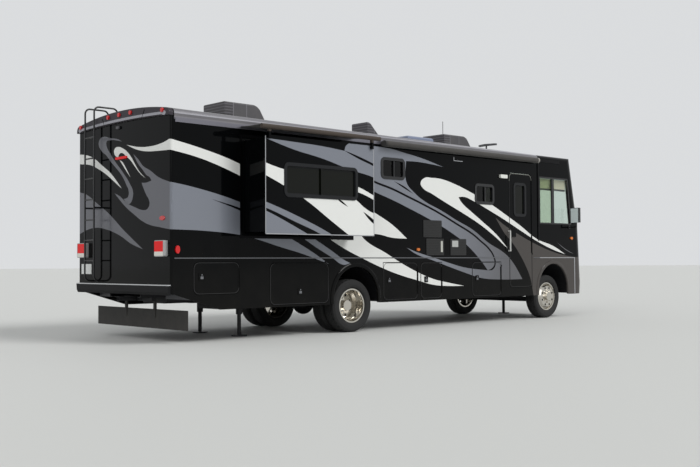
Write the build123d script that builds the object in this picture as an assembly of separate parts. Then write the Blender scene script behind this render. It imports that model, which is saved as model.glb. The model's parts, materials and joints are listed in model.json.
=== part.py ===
from build123d import *
import math
import os

# A motorhome with two slide-out rooms, in millimetres. Stations are measured forward from the rear
# wall and heights up from the ground. Side -1 is the right side (negative y) and side 1 the left.
RIGHT, LEFT = -1, 1
BOTH_SIDES = (RIGHT, LEFT)

# Whole vehicle
BODY_WIDTH = 2590
SIDE_FACE = BODY_WIDTH / 2
TAIL_REACH = 150
NOSE_STATION = 9800
MIDDLE_STATION = (NOSE_STATION - TAIL_REACH) / 2
BELT_Z = 1172
SKIRT_Z = 455
SEAL = 0.3
PANEL_GAP = 6

# Wheels and axles
REAR_AXLE_STATION = 3395
WHEELBASE = 5270
FRONT_AXLE_STATION = REAR_AXLE_STATION + WHEELBASE
TYRE_RADIUS = 419
TYRE_WIDTH = 245
BEAD_RADIUS = 252
RIM_WIDTH = 190
RIM_WALL = 12
WHEEL_DISC = 14
DISC_EDGE_INSET = 48
HAND_HOLE_RADIUS = 22
HAND_HOLE_CIRCLE = 170
HAND_HOLES = 8
STUD_CIRCLE = 112
STUDS = 8
TWIN_SPACING = 285
REAR_TWIN_MIDDLE = 957
FRONT_TRACK_HALF = 1030
KINGPIN_HALF = 900
HUB_RADIUS = 82
BEARING_RADIUS = 35
BEARING_PLAY = 0.05
KINGPIN_RADIUS = 20
ARCH_HALF = 535
REAR_ARCH_TOP = 1090
FRONT_ARCH_TOP = 1113

# Frame
RAIL_OUTSIDE = 430
RAIL_WIDTH = 75
RAIL_BOTTOM = 620
RAIL_HEIGHT = 220
RAIL_WALL = 8
RAIL_FRONT = 9560
RAIL_REAR = 50
CROSSMEMBER_STATIONS = (90, 1450, 2750, 4300, 6100, 7400, 9350)
CROSSMEMBER_HEIGHT = 60
RECEIVER_SIZE = 64
RECEIVER_BORE = 51
RECEIVER_REACH = 60
RECEIVER_LENGTH = 300
RECEIVER_Z = 600
HITCH_PIN_RADIUS = 8

# Shell thicknesses and levels
WALL_THICKNESS = 45
SKIRT_THICKNESS = 25
ROOF_THICKNESS = 60
CAP_THICKNESS = 45
REAR_WALL_THICKNESS = 50
REAR_EDGE_RADIUS = 34
DECK_Z = 1120
DECK_THICKNESS = 45
DECK_TOP = DECK_Z + DECK_THICKNESS
WALL_TOP = 3050
ROOF_EDGE_Z = 3195
ROOF_TOP_Z = 3300
ROOF_FALL = 58
ROOF_CORNER_RADIUS = 80
CAB_SEAM = 8200
FENDER_END = 9400
LEDGE_Z = 815
REAR_SKIRT_Z = 684
BUMPER_Z = 673
DEPARTURE_STATION = 800

# Nose of the coach: height and how far forward the middle of the front reaches there
NOSE_LINE = ((400, 9775), (680, NOSE_STATION), (1150, 9775), (1750, 9735), (3400, 9400))
NOSE_BOW = 80
NOSE_CORNER_RADIUS = 260
BROW_RADIUS = 300
WINDSHIELD = {"half_width": 1085, "z0": 1385, "z1": 2830, "corner": 90}
GRILLE = {"half_width": 560, "z0": 700, "z1": 1010, "corner": 50, "bars": 5}
HEADLAMP = {"y0": 700, "y1": 1050, "z0": 840, "z1": 1050, "corner": 45}
LOWER_INTAKE = {"half_width": 560, "z0": 520, "z1": 640, "corner": 30}

# Windows: outer frame's ends, bottom and top, the mullion's station, and the side
FRAME_LIP = 25
FRAME_PROUD = 10
GLASS_THICKNESS = 5
WINDOW_CORNER = 85
MULLION_HALF = 12
WINDOWS = [
    {"side": RIGHT, "x0": 3958, "x1": 4520, "z0": 2453, "z1": 2811, "mullion": 4262},
    {"side": RIGHT, "x0": 6311, "x1": 6859, "z0": 2132, "z1": 2502, "mullion": 6600},
    {"side": LEFT, "x0": 700, "x1": 1620, "z0": 2030, "z1": 2523, "mullion": 1160},
    {"side": LEFT, "x0": 2700, "x1": 3262, "z0": 2453, "z1": 2811, "mullion": 2981},
]
CAB_WINDOW = {"x0": 8226, "top_x1": 9168, "bottom_x1": 9278, "z0": 1820, "z1": 2732, "mullion": 8675,
              "mullion_half": 38, "corner": 32}
CAB_LIP = 14

# Entry door, on the right
DOOR = {"x0": 7295, "x1": 7985, "z0": 620, "z1": 2750, "corner": 60}
DOOR_THICKNESS = 45
DOOR_WINDOW = {"x0": 7428, "x1": 7812, "z0": 1940, "z1": 2575, "corner": 85}
STAIR_DEPTH = 520
STAIR_WALL = 12

# Slide-out rooms: fascia ends and the window on each
SLIDE_REACH = 520
SLIDE_Z0 = 1499
SLIDE_Z1 = 2887
SLIDE_FLANGE = 40
SLIDE_FASCIA = 30
SLIDE_WALL = 35
SLIDE_CLEARANCE = 10
SLIDE_TUCK = 60
SLIDE_TRAVEL = SLIDE_REACH - SLIDE_FASCIA - 6
SLIDES = [
    {"name": "right", "side": RIGHT, "x0": 1186, "x1": 3294,
     "window": {"x0": 1523, "x1": 2948, "z0": 2030, "z1": 2523, "mullion": 2224}},
    {"name": "left", "side": LEFT, "x0": 4250, "x1": 7050,
     "window": {"x0": 4900, "x1": 6400, "z0": 2030, "z1": 2523, "mullion": 5650}},
]
TOPPER_RADIUS = 34
TOPPER_OVERHANG = 90
TOPPER_RISE = 108

# Storage doors: opening's ends, bottom and top, and the edge that is hinged
HINGE_PIN_RADIUS = 3
HINGE_RADIUS = 6
HINGE_STANDOFF = 7
HINGE_LEAF = 3
HINGE_LEAF_WIDTH = 25
HINGE_EAR = 30
LATCH_HALF_WIDTH, LATCH_HALF_HEIGHT = 46, 50
STORAGE_DOORS = [
    {"name": "storage_door_right_a", "side": RIGHT, "x0": 350, "x1": 1130, "z0": 668, "z1": 1120, "hinge": "front"},
    {"name": "storage_door_right_b", "side": RIGHT, "x0": 1672, "x1": 2822, "z0": 480, "z1": 1100, "hinge": "top"},
    {"name": "storage_door_right_c", "side": RIGHT, "x0": 3995, "x1": 4815, "z0": 480, "z1": 1100, "hinge": "front"},
    {"name": "storage_door_right_d", "side": RIGHT, "x0": 4880, "x1": 5420, "z0": 480, "z1": 1100, "hinge": "front"},
    {"name": "storage_door_right_e", "side": RIGHT, "x0": 6219, "x1": 7044, "z0": 480, "z1": 1100, "hinge": "front"},
    {"name": "storage_door_left_a", "side": LEFT, "x0": 350, "x1": 1130, "z0": 668, "z1": 1120, "hinge": "front"},
    {"name": "storage_door_left_b", "side": LEFT, "x0": 1672, "x1": 2822, "z0": 480, "z1": 1100, "hinge": "top"},
    {"name": "storage_door_left_c", "side": LEFT, "x0": 4250, "x1": 5550, "z0": 480, "z1": 1100, "hinge": "top"},
]
DOOR_CORNER = 85
BAY_WALL = 12
BAY_DEPTH = 640
BAY_FRONT_GAP = 6
# Storage bays: ends and floor of each tray, on both sides
STORAGE_BAYS = [
    {"x0": 340, "x1": 1250, "floor": 600},
    {"x0": 1610, "x1": 2840, "floor": 467},
    {"x0": 3980, "x1": 5600, "floor": 467},
    {"x0": 6150, "x1": 7150, "floor": 467},
]

pieces = {}


def block(x0, x1, y0, y1, z0, z1):
    """A square-cut block between two corners."""
    size = Box(abs(x1 - x0), abs(y1 - y0), abs(z1 - z0))
    return Pos((x0 + x1) / 2, (y0 + y1) / 2, (z0 + z1) / 2) * size


def side_block(side, x0, x1, d0, d1, z0, z1):
    """A block that lies from d0 to d1 away from the centre plane, on one side."""
    return block(x0, x1, side * d0, side * d1, z0, z1)


def rounded(a0, a1, b0, b1, radius):
    """A rectangle with round corners between two corners."""
    return Pos((a0 + a1) / 2, (b0 + b1) / 2) * RectangleRounded(a1 - a0, b1 - b0, radius)


def side_slab(outline, side, d0, d1):
    """An outline drawn in x and z, thick from d0 to d1 away from the centre plane."""
    low_y = min(side * d0, side * d1)
    return extrude(Plane.XZ.offset(-low_y) * outline, amount=-abs(d1 - d0))


def cross_slab(outline, x0, x1):
    """An outline drawn in y and z, thick from station x0 to x1."""
    return extrude(Plane.YZ.offset(x0) * outline, amount=x1 - x0)


def rod(start, end, radius):
    """A round bar between two points."""
    run = Vector(*end) - Vector(*start)
    return extrude(Plane(origin=start, z_dir=run) * Circle(radius), amount=run.length)


def turned(profile, station, side, distance, height):
    """A profile of (distance outwards, radius) points turned about a wheel's axle."""
    outline = make_face(Polyline(*profile, close=True))
    ring = revolve(outline, Axis.X, 360)
    lie_on_axle = Rot(0, 0, 90 if side == LEFT else -90)
    return Pos(station, side * distance, height) * lie_on_axle * ring


def body_outline(inset, bottom, fall=0):
    """The coach's cross-section: upright sides, round shoulders and a crowned top, lower by the fall."""
    half = SIDE_FACE - inset
    edge = ROOF_EDGE_Z - fall - inset
    sides = Polyline((half, edge), (half, bottom), (-half, bottom), (-half, edge))
    crown = ThreePointArc((-half, edge), (0, ROOF_TOP_Z - fall - inset), (half, edge))
    outline = make_face(sides + crown)
    shoulders = outline.vertices().sort_by(Axis.Y)[-2:]
    return fillet(shoulders, ROOF_CORNER_RADIUS - inset)


def body_run(inset, bottom, x0, x1):
    """The cross-section run from one station to another, falling evenly towards the cab."""
    ends = [Plane.YZ.offset(x) * body_outline(inset, bottom, ROOF_FALL * x / CAB_SEAM) for x in (x0, x1)]
    return loft(ends, ruled=True)


def plan_outline(inset, nose, back):
    """The front of the coach seen from above, bowed forward between two round corners."""
    half = SIDE_FACE - inset
    tip = nose - inset
    shoulder = tip - NOSE_BOW
    sides = Polyline((shoulder, half), (back, half), (back, -half), (shoulder, -half))
    front = ThreePointArc((shoulder, -half), (tip, 0), (shoulder, half))
    outline = make_face(sides + front)
    corners = outline.vertices().sort_by(Axis.X)[-2:]
    return fillet(corners, NOSE_CORNER_RADIUS - inset)


def front_form(inset, overrun=0):
    """The front of the coach as a full block, inset by a wall thickness."""
    back = CAB_SEAM - overrun
    sections = [Pos(0, 0, z) * plan_outline(inset, nose, back) for z, nose in NOSE_LINE]
    tapered = loft(sections, ruled=True)
    section = cross_slab(body_outline(inset, SKIRT_Z - overrun, ROOF_FALL), back, NOSE_STATION + 100)
    low_z, low_nose = NOSE_LINE[-2]
    high_z, high_nose = NOSE_LINE[-1]
    lean = (high_nose - low_nose) / (high_z - low_z)
    top = ROOF_TOP_Z - ROOF_FALL + 5 - inset
    bottom = SKIRT_Z - 100
    brow_nose = low_nose + lean * (top - low_z) + 2 - inset
    outline = make_face(Polyline((back, bottom), (low_nose + 200, bottom), (low_nose + 200, low_z),
                                 (low_nose + 2 - inset, low_z), (brow_nose, top), (back, top), close=True))
    brow = outline.vertices().sort_by_distance(Vector(brow_nose, top, 0))[0]
    outline = fillet(brow, BROW_RADIUS - inset)
    return tapered & section & side_slab(outline, LEFT, -SIDE_FACE - 50, SIDE_FACE + 50)


def window_outline(window, grow=0):
    """A window's outer frame in x and z, grown or shrunk all round."""
    return rounded(window["x0"] - grow, window["x1"] + grow, window["z0"] - grow, window["z1"] + grow,
                   window.get("corner", WINDOW_CORNER) + grow)


def cab_window_outline(grow=0):
    """The cab's side window, whose front edge leans with the windshield pillar."""
    w = CAB_WINDOW
    lean = Polyline((w["x0"], w["z0"]), (w["bottom_x1"], w["z0"]), (w["top_x1"], w["z1"]), (w["x0"], w["z1"]),
                    close=True)
    outline = make_face(lean)
    outline = fillet(outline.vertices(), w["corner"])
    return offset(outline, grow) if grow else outline


def framed_window(outline_at, side, face, wall, mullion, z0, z1, width=FRAME_LIP, half=MULLION_HALF):
    """A clamped window frame with its pane; outline_at gives the outline grown by a distance."""
    hole = outline_at(-2 * width)
    lip = side_slab(outline_at(0) - hole, side, face, face + FRAME_PROUD)
    sleeve = side_slab(outline_at(-width - SEAL) - hole, side, face - wall, face + 1)
    bar_z0, bar_z1 = z0 + 2 * width, z1 - 2 * width
    bar = side_block(side, mullion - half, mullion + half, face - 20, face + 4, bar_z0 - 5, bar_z1 + 5)
    pane_back = face - 20 - GLASS_THICKNESS - SEAL
    pane = side_slab(outline_at(-2 * width - SEAL), side, pane_back, pane_back + GLASS_THICKNESS)
    return lip + sleeve + bar, pane


def wheel_arch(station, top, extra=0):
    """The outline of a wheel opening: a round arch on straight sides."""
    half = ARCH_HALF + extra
    spring_line = top - ARCH_HALF
    arch = Pos(station, spring_line) * Circle(half)
    legs = Pos(station, (spring_line + 200) / 2) * Rectangle(2 * half, spring_line - 200)
    return arch + legs


def upright_hinge(side, station, z0, z1):
    """A pin along a door's upright edge: the door's barrel, and the body's ears with the pin."""
    d = SIDE_FACE + HINGE_STANDOFF
    y = side * d
    leaf_out = SIDE_FACE + HINGE_LEAF
    low, high = z0 + HINGE_EAR, z1 - HINGE_EAR
    barrel = rod((station, y, low + 1), (station, y, high - 1), HINGE_RADIUS)
    barrel += side_block(side, station - HINGE_LEAF_WIDTH, station, SIDE_FACE, leaf_out, low + 1, high - 1)
    barrel -= rod((station, y, low), (station, y, high), HINGE_PIN_RADIUS + BEARING_PLAY)
    ears = rod((station, y, z0), (station, y, low), HINGE_RADIUS)
    ears += rod((station, y, high), (station, y, z1), HINGE_RADIUS)
    ears += side_block(side, station, station + HINGE_LEAF_WIDTH, SIDE_FACE, leaf_out, z0, low)
    ears += side_block(side, station, station + HINGE_LEAF_WIDTH, SIDE_FACE, leaf_out, high, z1)
    ears += rod((station, y, z0), (station, y, z1), HINGE_PIN_RADIUS)
    return barrel, ears


def level_hinge(side, height, x0, x1):
    """A pin along a door's top edge: the door's barrel, and the body's ears with the pin."""
    d = SIDE_FACE + HINGE_STANDOFF
    y = side * d
    leaf_out = SIDE_FACE + HINGE_LEAF
    low, high = x0 + HINGE_EAR, x1 - HINGE_EAR
    barrel = rod((low + 1, y, height), (high - 1, y, height), HINGE_RADIUS)
    barrel += side_block(side, low + 1, high - 1, SIDE_FACE, leaf_out, height - HINGE_LEAF_WIDTH, height)
    barrel -= rod((low, y, height), (high, y, height), HINGE_PIN_RADIUS + BEARING_PLAY)
    ears = rod((x0, y, height), (low, y, height), HINGE_RADIUS)
    ears += rod((high, y, height), (x1, y, height), HINGE_RADIUS)
    ears += side_block(side, x0, low, SIDE_FACE, leaf_out, height, height + HINGE_LEAF_WIDTH)
    ears += side_block(side, high, x1, SIDE_FACE, leaf_out, height, height + HINGE_LEAF_WIDTH)
    ears += rod((x0, y, height), (x1, y, height), HINGE_PIN_RADIUS)
    return barrel, ears


# Frame rails, crossmembers and hitch receiver
def chassis_frame():
    inner = RAIL_OUTSIDE - RAIL_WIDTH
    top = RAIL_BOTTOM + RAIL_HEIGHT
    frame = None
    for side in BOTH_SIDES:
        rail = side_block(side, RAIL_REAR, RAIL_FRONT, inner, RAIL_OUTSIDE, RAIL_BOTTOM, top)
        rail -= side_block(side, 0, RAIL_FRONT + 10, inner - 1, RAIL_OUTSIDE - RAIL_WALL,
                           RAIL_BOTTOM + RAIL_WALL, top - RAIL_WALL)
        frame = rail if frame is None else frame + rail
    web = RAIL_OUTSIDE - RAIL_WALL
    for station in CROSSMEMBER_STATIONS:
        frame += block(station - 35, station + 35, -web, web, top - CROSSMEMBER_HEIGHT, top)
        for side in BOTH_SIDES:
            frame += side_block(side, station - 30, station + 30, inner, RAIL_OUTSIDE, top, DECK_Z)
    half = RECEIVER_SIZE / 2
    tail = -RECEIVER_REACH
    receiver = block(tail, RECEIVER_LENGTH, -half, half, RECEIVER_Z - half, RECEIVER_Z + half)
    receiver += block(RECEIVER_LENGTH - 70, RECEIVER_LENGTH, -web, web, RECEIVER_Z - half, RECEIVER_Z + half)
    for side in BOTH_SIDES:
        receiver += side_block(side, RECEIVER_LENGTH - 70, RECEIVER_LENGTH, inner, RAIL_OUTSIDE,
                               RECEIVER_Z - half, RAIL_BOTTOM + RAIL_WALL)
    bore = RECEIVER_BORE / 2
    receiver -= block(tail - 10, RECEIVER_LENGTH - 90, -bore, bore, RECEIVER_Z - bore, RECEIVER_Z + bore)
    receiver -= rod((tail + 45, -half - 10, RECEIVER_Z), (tail + 45, half + 10, RECEIVER_Z), HITCH_PIN_RADIUS)
    return frame + receiver


# Engine, gearbox and propeller shaft
ENGINE = {"x0": 8370, "x1": 9220, "half_width": 300, "z0": 640, "z1": 1100}
ENGINE_ROOM = 25
COVER_WALL = 15
COVER_HEIGHT = 190
GEARBOX_LENGTH = 730
GEARBOX_RADIUS = 130
GEARBOX_Z = 700
SHAFT_RADIUS = 42


def driveline():
    e = ENGINE
    engine = block(e["x0"], e["x1"], -e["half_width"], e["half_width"], e["z0"], e["z1"])
    gearbox_end = e["x0"] - GEARBOX_LENGTH
    gearbox = rod((gearbox_end, 0, GEARBOX_Z), (e["x0"] + 10, 0, GEARBOX_Z), GEARBOX_RADIUS)
    shaft = rod((REAR_AXLE_STATION + 190, 0, 450), (gearbox_end + 10, 0, GEARBOX_Z - 10), SHAFT_RADIUS)
    web = RAIL_OUTSIDE - RAIL_WALL
    for x in (e["x0"] + 230, e["x1"] - 120):
        engine += block(x - 40, x + 40, -web, web, e["z0"] + 60, e["z0"] + 120)
    return engine + gearbox + shaft


SPRING_HALF = 640
SPRING_WIDTH = 70
SPRING_MIDDLE = RAIL_OUTSIDE + 45
SPRING_LEAVES = 3
LEAF_THICKNESS = 16
REAR_TUBE_RADIUS = 60


def leaf_spring(side, station, seat, eye_z):
    """A stack of leaves from hanger to hanger, and the hangers up to the rail."""
    d0, d1 = SPRING_MIDDLE - SPRING_WIDTH / 2, SPRING_MIDDLE + SPRING_WIDTH / 2
    spring = None
    for leaf in range(SPRING_LEAVES):
        half = SPRING_HALF * (1 - 0.24 * (SPRING_LEAVES - 1 - leaf))
        rise = (eye_z - seat) * (half / SPRING_HALF) ** 2
        low = seat + leaf * LEAF_THICKNESS
        high = low + LEAF_THICKNESS
        under = ThreePointArc((station - half, low + rise), (station, low), (station + half, low + rise))
        over = ThreePointArc((station + half, high + rise), (station, high), (station - half, high + rise))
        ends = Line(under @ 1, over @ 0) + Line(over @ 1, under @ 0)
        strip = side_slab(make_face(under + over + ends), side, d0, d1)
        spring = strip if spring is None else spring + strip
    top = RAIL_BOTTOM + 110
    for end in (-1, 1):
        x = station + end * SPRING_HALF
        spring += side_block(side, x - 30, x + 30, RAIL_OUTSIDE, d1, eye_z, top)
    return spring


# Front axle: beam with an eye for each kingpin, and its leaf springs
BEAM_Z0 = 330
BEAM_Z1 = 400
BEAM_HALF_DEPTH = 45
EYE_RADIUS = 48
EYE_HALF_HEIGHT = 45


def front_axle():
    x = FRONT_AXLE_STATION
    reach = KINGPIN_HALF - 90
    beam = block(x - BEAM_HALF_DEPTH, x + BEAM_HALF_DEPTH, -reach, reach, BEAM_Z0, BEAM_Z1)
    for side in BOTH_SIDES:
        beam += side_block(side, x - BEAM_HALF_DEPTH + 10, x + BEAM_HALF_DEPTH - 10, reach - 60, KINGPIN_HALF,
                           TYRE_RADIUS - EYE_HALF_HEIGHT, TYRE_RADIUS + EYE_HALF_HEIGHT - 10)
        beam += rod((x, side * KINGPIN_HALF, TYRE_RADIUS - EYE_HALF_HEIGHT),
                    (x, side * KINGPIN_HALF, TYRE_RADIUS + EYE_HALF_HEIGHT), EYE_RADIUS)
        beam += leaf_spring(side, x, BEAM_Z1 - 2, 600)
        beam -= rod((x, side * KINGPIN_HALF, 200), (x, side * KINGPIN_HALF, 600), KINGPIN_RADIUS + BEARING_PLAY)
    return beam


# Rear axle: tubes and differential, spindles for the hubs, and its leaf springs
SPINDLE_START = 600


def rear_axle():
    x = REAR_AXLE_STATION
    reach = REAR_TWIN_MIDDLE + 120
    axle = rod((x, -SPINDLE_START, TYRE_RADIUS), (x, SPINDLE_START, TYRE_RADIUS), REAR_TUBE_RADIUS)
    axle += rod((x, -reach, TYRE_RADIUS), (x, reach, TYRE_RADIUS), BEARING_RADIUS)
    axle += Pos(x, 0, TYRE_RADIUS) * Sphere(175)
    axle += rod((x, 0, TYRE_RADIUS + 10), (x + 188, 0, TYRE_RADIUS + 30), 70)
    for side in BOTH_SIDES:
        seat = TYRE_RADIUS + REAR_TUBE_RADIUS + 12
        axle += side_block(side, x - 70, x + 70, SPRING_MIDDLE - 40, SPRING_MIDDLE + 40, TYRE_RADIUS, seat)
        axle += leaf_spring(side, x, seat - 1, 625)
    return axle


# Steering knuckle: two ears over the beam's eye, kingpin, spindle and steering arm
KNUCKLE_PLAY = 0.4
EAR_THICKNESS = 26
ARM_LENGTH = 190
TIE_PIN_RADIUS = 11
SPINDLE_REACH = FRONT_TRACK_HALF + 100


def knuckle(side):
    x, d = FRONT_AXLE_STATION, KINGPIN_HALF
    top = TYRE_RADIUS + EYE_HALF_HEIGHT + KNUCKLE_PLAY
    bottom = TYRE_RADIUS - EYE_HALF_HEIGHT - KNUCKLE_PLAY
    low, high = bottom - EAR_THICKNESS, top + EAR_THICKNESS
    web_in = d + EYE_RADIUS + 6
    body = side_block(side, x - 45, x + 45, web_in, web_in + 30, low, high)
    for z0, z1 in ((low, bottom), (top, high)):
        body += rod((x, side * d, z0), (x, side * d, z1), EYE_RADIUS)
        body += side_block(side, x - 45, x + 45, d, web_in + 5, z0, z1)
    body += rod((x, side * d, low), (x, side * d, high), KINGPIN_RADIUS)
    body += rod((x, side * (web_in + 20), TYRE_RADIUS), (x, side * SPINDLE_REACH, TYRE_RADIUS), BEARING_RADIUS)
    arm_end = x - ARM_LENGTH
    body += side_block(side, arm_end, x, d - 20, d + 20, low, low + 20)
    body += rod((arm_end, side * d, low), (arm_end, side * d, low + 20), 26)
    body += rod((arm_end, side * d, low - 34), (arm_end, side * d, low + 20), TIE_PIN_RADIUS)
    return body


# Tie rod between the two steering arms
def tie_rod():
    x = FRONT_AXLE_STATION - ARM_LENGTH
    d = KINGPIN_HALF
    arm_low = TYRE_RADIUS - EYE_HALF_HEIGHT - KNUCKLE_PLAY - EAR_THICKNESS
    z0, z1 = arm_low - 30.4, arm_low - 0.4
    middle = (z0 + z1) / 2
    bar = rod((x, -d + 15, middle), (x, d - 15, middle), 14)
    for side in BOTH_SIDES:
        bar += rod((x, side * d, z0), (x, side * d, z1), 24)
    for side in BOTH_SIDES:
        bar -= rod((x, side * d, z0 - 20), (x, side * d, z1 + 20), TIE_PIN_RADIUS + BEARING_PLAY)
    return bar


# Tyre: one ring from bead to tread
TYRE_PROFILE = ((-86, BEAD_RADIUS + SEAL), (-86, 274), (-112, 292), (-122, 330), (-116, 385), (-98, 410),
                (-60, TYRE_RADIUS), (60, TYRE_RADIUS), (98, 410), (116, 385), (122, 330), (112, 292),
                (86, 274), (86, BEAD_RADIUS + SEAL))


def tyre(station, side, distance):
    return turned(TYRE_PROFILE, station, side, distance, TYRE_RADIUS)


def rim(station, side, distance, disc_at):
    """A wheel rim with its disc; disc_at is how far outboard of the rim's middle the disc sits."""
    half = RIM_WIDTH / 2
    r = BEAD_RADIUS
    inner = r - RIM_WALL
    barrel = ((-half, r + 18), (-half + 7, r + 18), (-half + 7, r), (half - 7, r), (half - 7, r + 18),
              (half, r + 18), (half, inner + 8), (half - 25, inner), (-half + 25, inner), (-half, inner + 8))
    wheel = turned(barrel, station, side, distance, TYRE_RADIUS)
    rim_side = math.copysign(half - DISC_EDGE_INSET, disc_at)
    disc = ((disc_at, HUB_RADIUS - 20), (disc_at + WHEEL_DISC, HUB_RADIUS - 20), (disc_at + WHEEL_DISC, 200),
            (rim_side + WHEEL_DISC, inner + 4), (rim_side, inner + 4), (disc_at, 196))
    plate = turned(disc, station, side, distance, TYRE_RADIUS)
    for hole in range(HAND_HOLES):
        turn = math.radians(360 / HAND_HOLES * (hole + 0.5))
        hx = station + HAND_HOLE_CIRCLE * math.cos(turn)
        hz = TYRE_RADIUS + HAND_HOLE_CIRCLE * math.sin(turn)
        plate -= rod((hx, side * (distance + disc_at - 60), hz), (hx, side * (distance + disc_at + 60), hz),
                     HAND_HOLE_RADIUS)
    return wheel + plate


def studs(station, side, face):
    """The ring of wheel nuts on a disc's outer face."""
    ring = None
    for nut in range(STUDS):
        turn = math.radians(360 / STUDS * nut)
        nx = station + STUD_CIRCLE * math.cos(turn)
        nz = TYRE_RADIUS + STUD_CIRCLE * math.sin(turn)
        one = rod((nx, side * (face - 2), nz), (nx, side * (face + 24), nz), 15)
        ring = one if ring is None else ring + one
    return ring


FRONT_DISC_AT = 100


def front_rim(side):
    x = FRONT_AXLE_STATION
    wheel = rim(x, side, FRONT_TRACK_HALF, FRONT_DISC_AT)
    face = FRONT_TRACK_HALF + FRONT_DISC_AT + WHEEL_DISC
    hub_in = KINGPIN_HALF + EYE_RADIUS + 44
    wheel += rod((x, side * hub_in, TYRE_RADIUS), (x, side * (face + 45), TYRE_RADIUS), HUB_RADIUS)
    wheel += studs(x, side, face)
    wheel -= rod((x, side * (hub_in - 10), TYRE_RADIUS), (x, side * (SPINDLE_REACH + 2), TYRE_RADIUS),
                 BEARING_RADIUS + BEARING_PLAY)
    return wheel


def rear_rims(side):
    x = REAR_AXLE_STATION
    half_gap = TWIN_SPACING / 2
    outer = rim(x, side, REAR_TWIN_MIDDLE + half_gap, -half_gap)
    inner = rim(x, side, REAR_TWIN_MIDDLE - half_gap, half_gap - WHEEL_DISC)
    hub_in = SPINDLE_START + 10
    face = REAR_TWIN_MIDDLE + WHEEL_DISC
    spindle_end = REAR_TWIN_MIDDLE + 120
    wheels = outer + inner
    wheels += rod((x, side * hub_in, TYRE_RADIUS), (x, side * (spindle_end + 15), TYRE_RADIUS), HUB_RADIUS)
    wheels += studs(x, side, face)
    wheels -= rod((x, side * (hub_in - 5), TYRE_RADIUS), (x, side * (spindle_end + 2), TYRE_RADIUS),
                  BEARING_RADIUS + BEARING_PLAY)
    return wheels


# Floor deck with the stairwell cut at the entry door
def floor_deck():
    deck = block(REAR_WALL_THICKNESS, FENDER_END, -SIDE_FACE + SKIRT_THICKNESS, SIDE_FACE - SKIRT_THICKNESS,
                 DECK_Z, DECK_TOP)
    well_in = SIDE_FACE - SKIRT_THICKNESS - STAIR_DEPTH
    deck -= block(DOOR["x0"] - 20, DOOR["x1"] + 20, -SIDE_FACE, -well_in, DECK_Z - 10, DECK_TOP + 10)
    e, reach = ENGINE, ENGINE_ROOM - COVER_WALL
    deck -= block(e["x0"] - reach, e["x1"] + reach, -e["half_width"] - reach, e["half_width"] + reach,
                  DECK_Z - 10, DECK_TOP + 10)
    return deck


# Engine cover between the cab seats, standing on the deck around its opening
def engine_cover():
    e, reach, wall = ENGINE, ENGINE_ROOM, COVER_WALL
    cover = block(e["x0"] - reach, e["x1"] + reach, -e["half_width"] - reach, e["half_width"] + reach,
                  DECK_TOP, DECK_TOP + COVER_HEIGHT)
    inside = reach - wall
    cover -= block(e["x0"] - inside, e["x1"] + inside, -e["half_width"] - inside, e["half_width"] + inside,
                   DECK_TOP - 10, DECK_TOP + COVER_HEIGHT - wall)
    top_edges = cover.faces().sort_by(Axis.Z)[-1].edges()
    return fillet(top_edges, 12)


# Storage bays: trays hung under the deck behind the storage doors
def storage_bays():
    bays = None
    outside = SIDE_FACE - SKIRT_THICKNESS - BAY_FRONT_GAP
    for side in BOTH_SIDES:
        for bay in STORAGE_BAYS:
            inside = outside - BAY_DEPTH
            tray = side_block(side, bay["x0"], bay["x1"], inside, outside, bay["floor"], DECK_Z)
            tray -= side_block(side, bay["x0"] + BAY_WALL, bay["x1"] - BAY_WALL, inside + BAY_WALL, outside + 10,
                               bay["floor"] + BAY_WALL, DECK_Z + 10)
            bays = tray if bays is None else bays + tray
    return bays


def slide_hole(slide):
    """The opening in a side wall that a slide-out room runs through."""
    shrink = SLIDE_FLANGE - SLIDE_CLEARANCE
    return slide["x0"] + shrink, slide["x1"] - shrink, SLIDE_Z0 + shrink, SLIDE_Z1 - shrink


# Side walls above the belt, cut for windows, slide-out room and entry door
def side_wall(side):
    inner = SIDE_FACE - WALL_THICKNESS
    wall = side_block(side, REAR_WALL_THICKNESS, CAB_SEAM, inner, SIDE_FACE, BELT_Z, WALL_TOP)
    for window in WINDOWS:
        if window["side"] == side:
            wall -= side_slab(window_outline(window, -FRAME_LIP), side, inner - 10, SIDE_FACE + 10)
    for slide in SLIDES:
        if slide["side"] == side:
            x0, x1, z0, z1 = slide_hole(slide)
            wall -= side_block(side, x0, x1, inner - 10, SIDE_FACE + 10, z0, z1)
            for share in (0.1, 0.5, 0.9):
                pad = x0 + share * (x1 - x0)
                wall += side_block(side, pad - 40, pad + 40, inner, SIDE_FACE, z0 - 1,
                                   z0 + SLIDE_CLEARANCE - SEAL)
    if side == RIGHT:
        wall -= side_slab(window_outline(DOOR), side, inner - 10, SIDE_FACE + 10)
        barrel, ears = upright_hinge(RIGHT, DOOR["x1"] - PANEL_GAP / 2, BELT_Z + 60, DOOR["z1"] - 80)
        wall += ears
    return wall


# Skirts: the lower side panels with wheel arches and storage door openings
def skirt(side):
    inner = SIDE_FACE - SKIRT_THICKNESS
    start = REAR_WALL_THICKNESS
    slope = Polyline((start, REAR_SKIRT_Z), (DEPARTURE_STATION, SKIRT_Z), (FENDER_END, SKIRT_Z),
                     (FENDER_END, BELT_Z), (start, BELT_Z), close=True)
    panel = make_face(slope)
    panel -= wheel_arch(REAR_AXLE_STATION, REAR_ARCH_TOP)
    panel -= wheel_arch(FRONT_AXLE_STATION, FRONT_ARCH_TOP)
    sheet = side_slab(panel, side, inner, SIDE_FACE)
    for door in STORAGE_DOORS:
        if door["side"] == side:
            hole = rounded(door["x0"], door["x1"], door["z0"], door["z1"], DOOR_CORNER)
            sheet -= side_slab(hole, side, inner - 10, SIDE_FACE + 10)
            sheet += storage_hinge(door)[1]
    if side == RIGHT:
        sheet -= side_slab(window_outline(DOOR), side, inner - 10, SIDE_FACE + 10)
    return sheet


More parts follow.
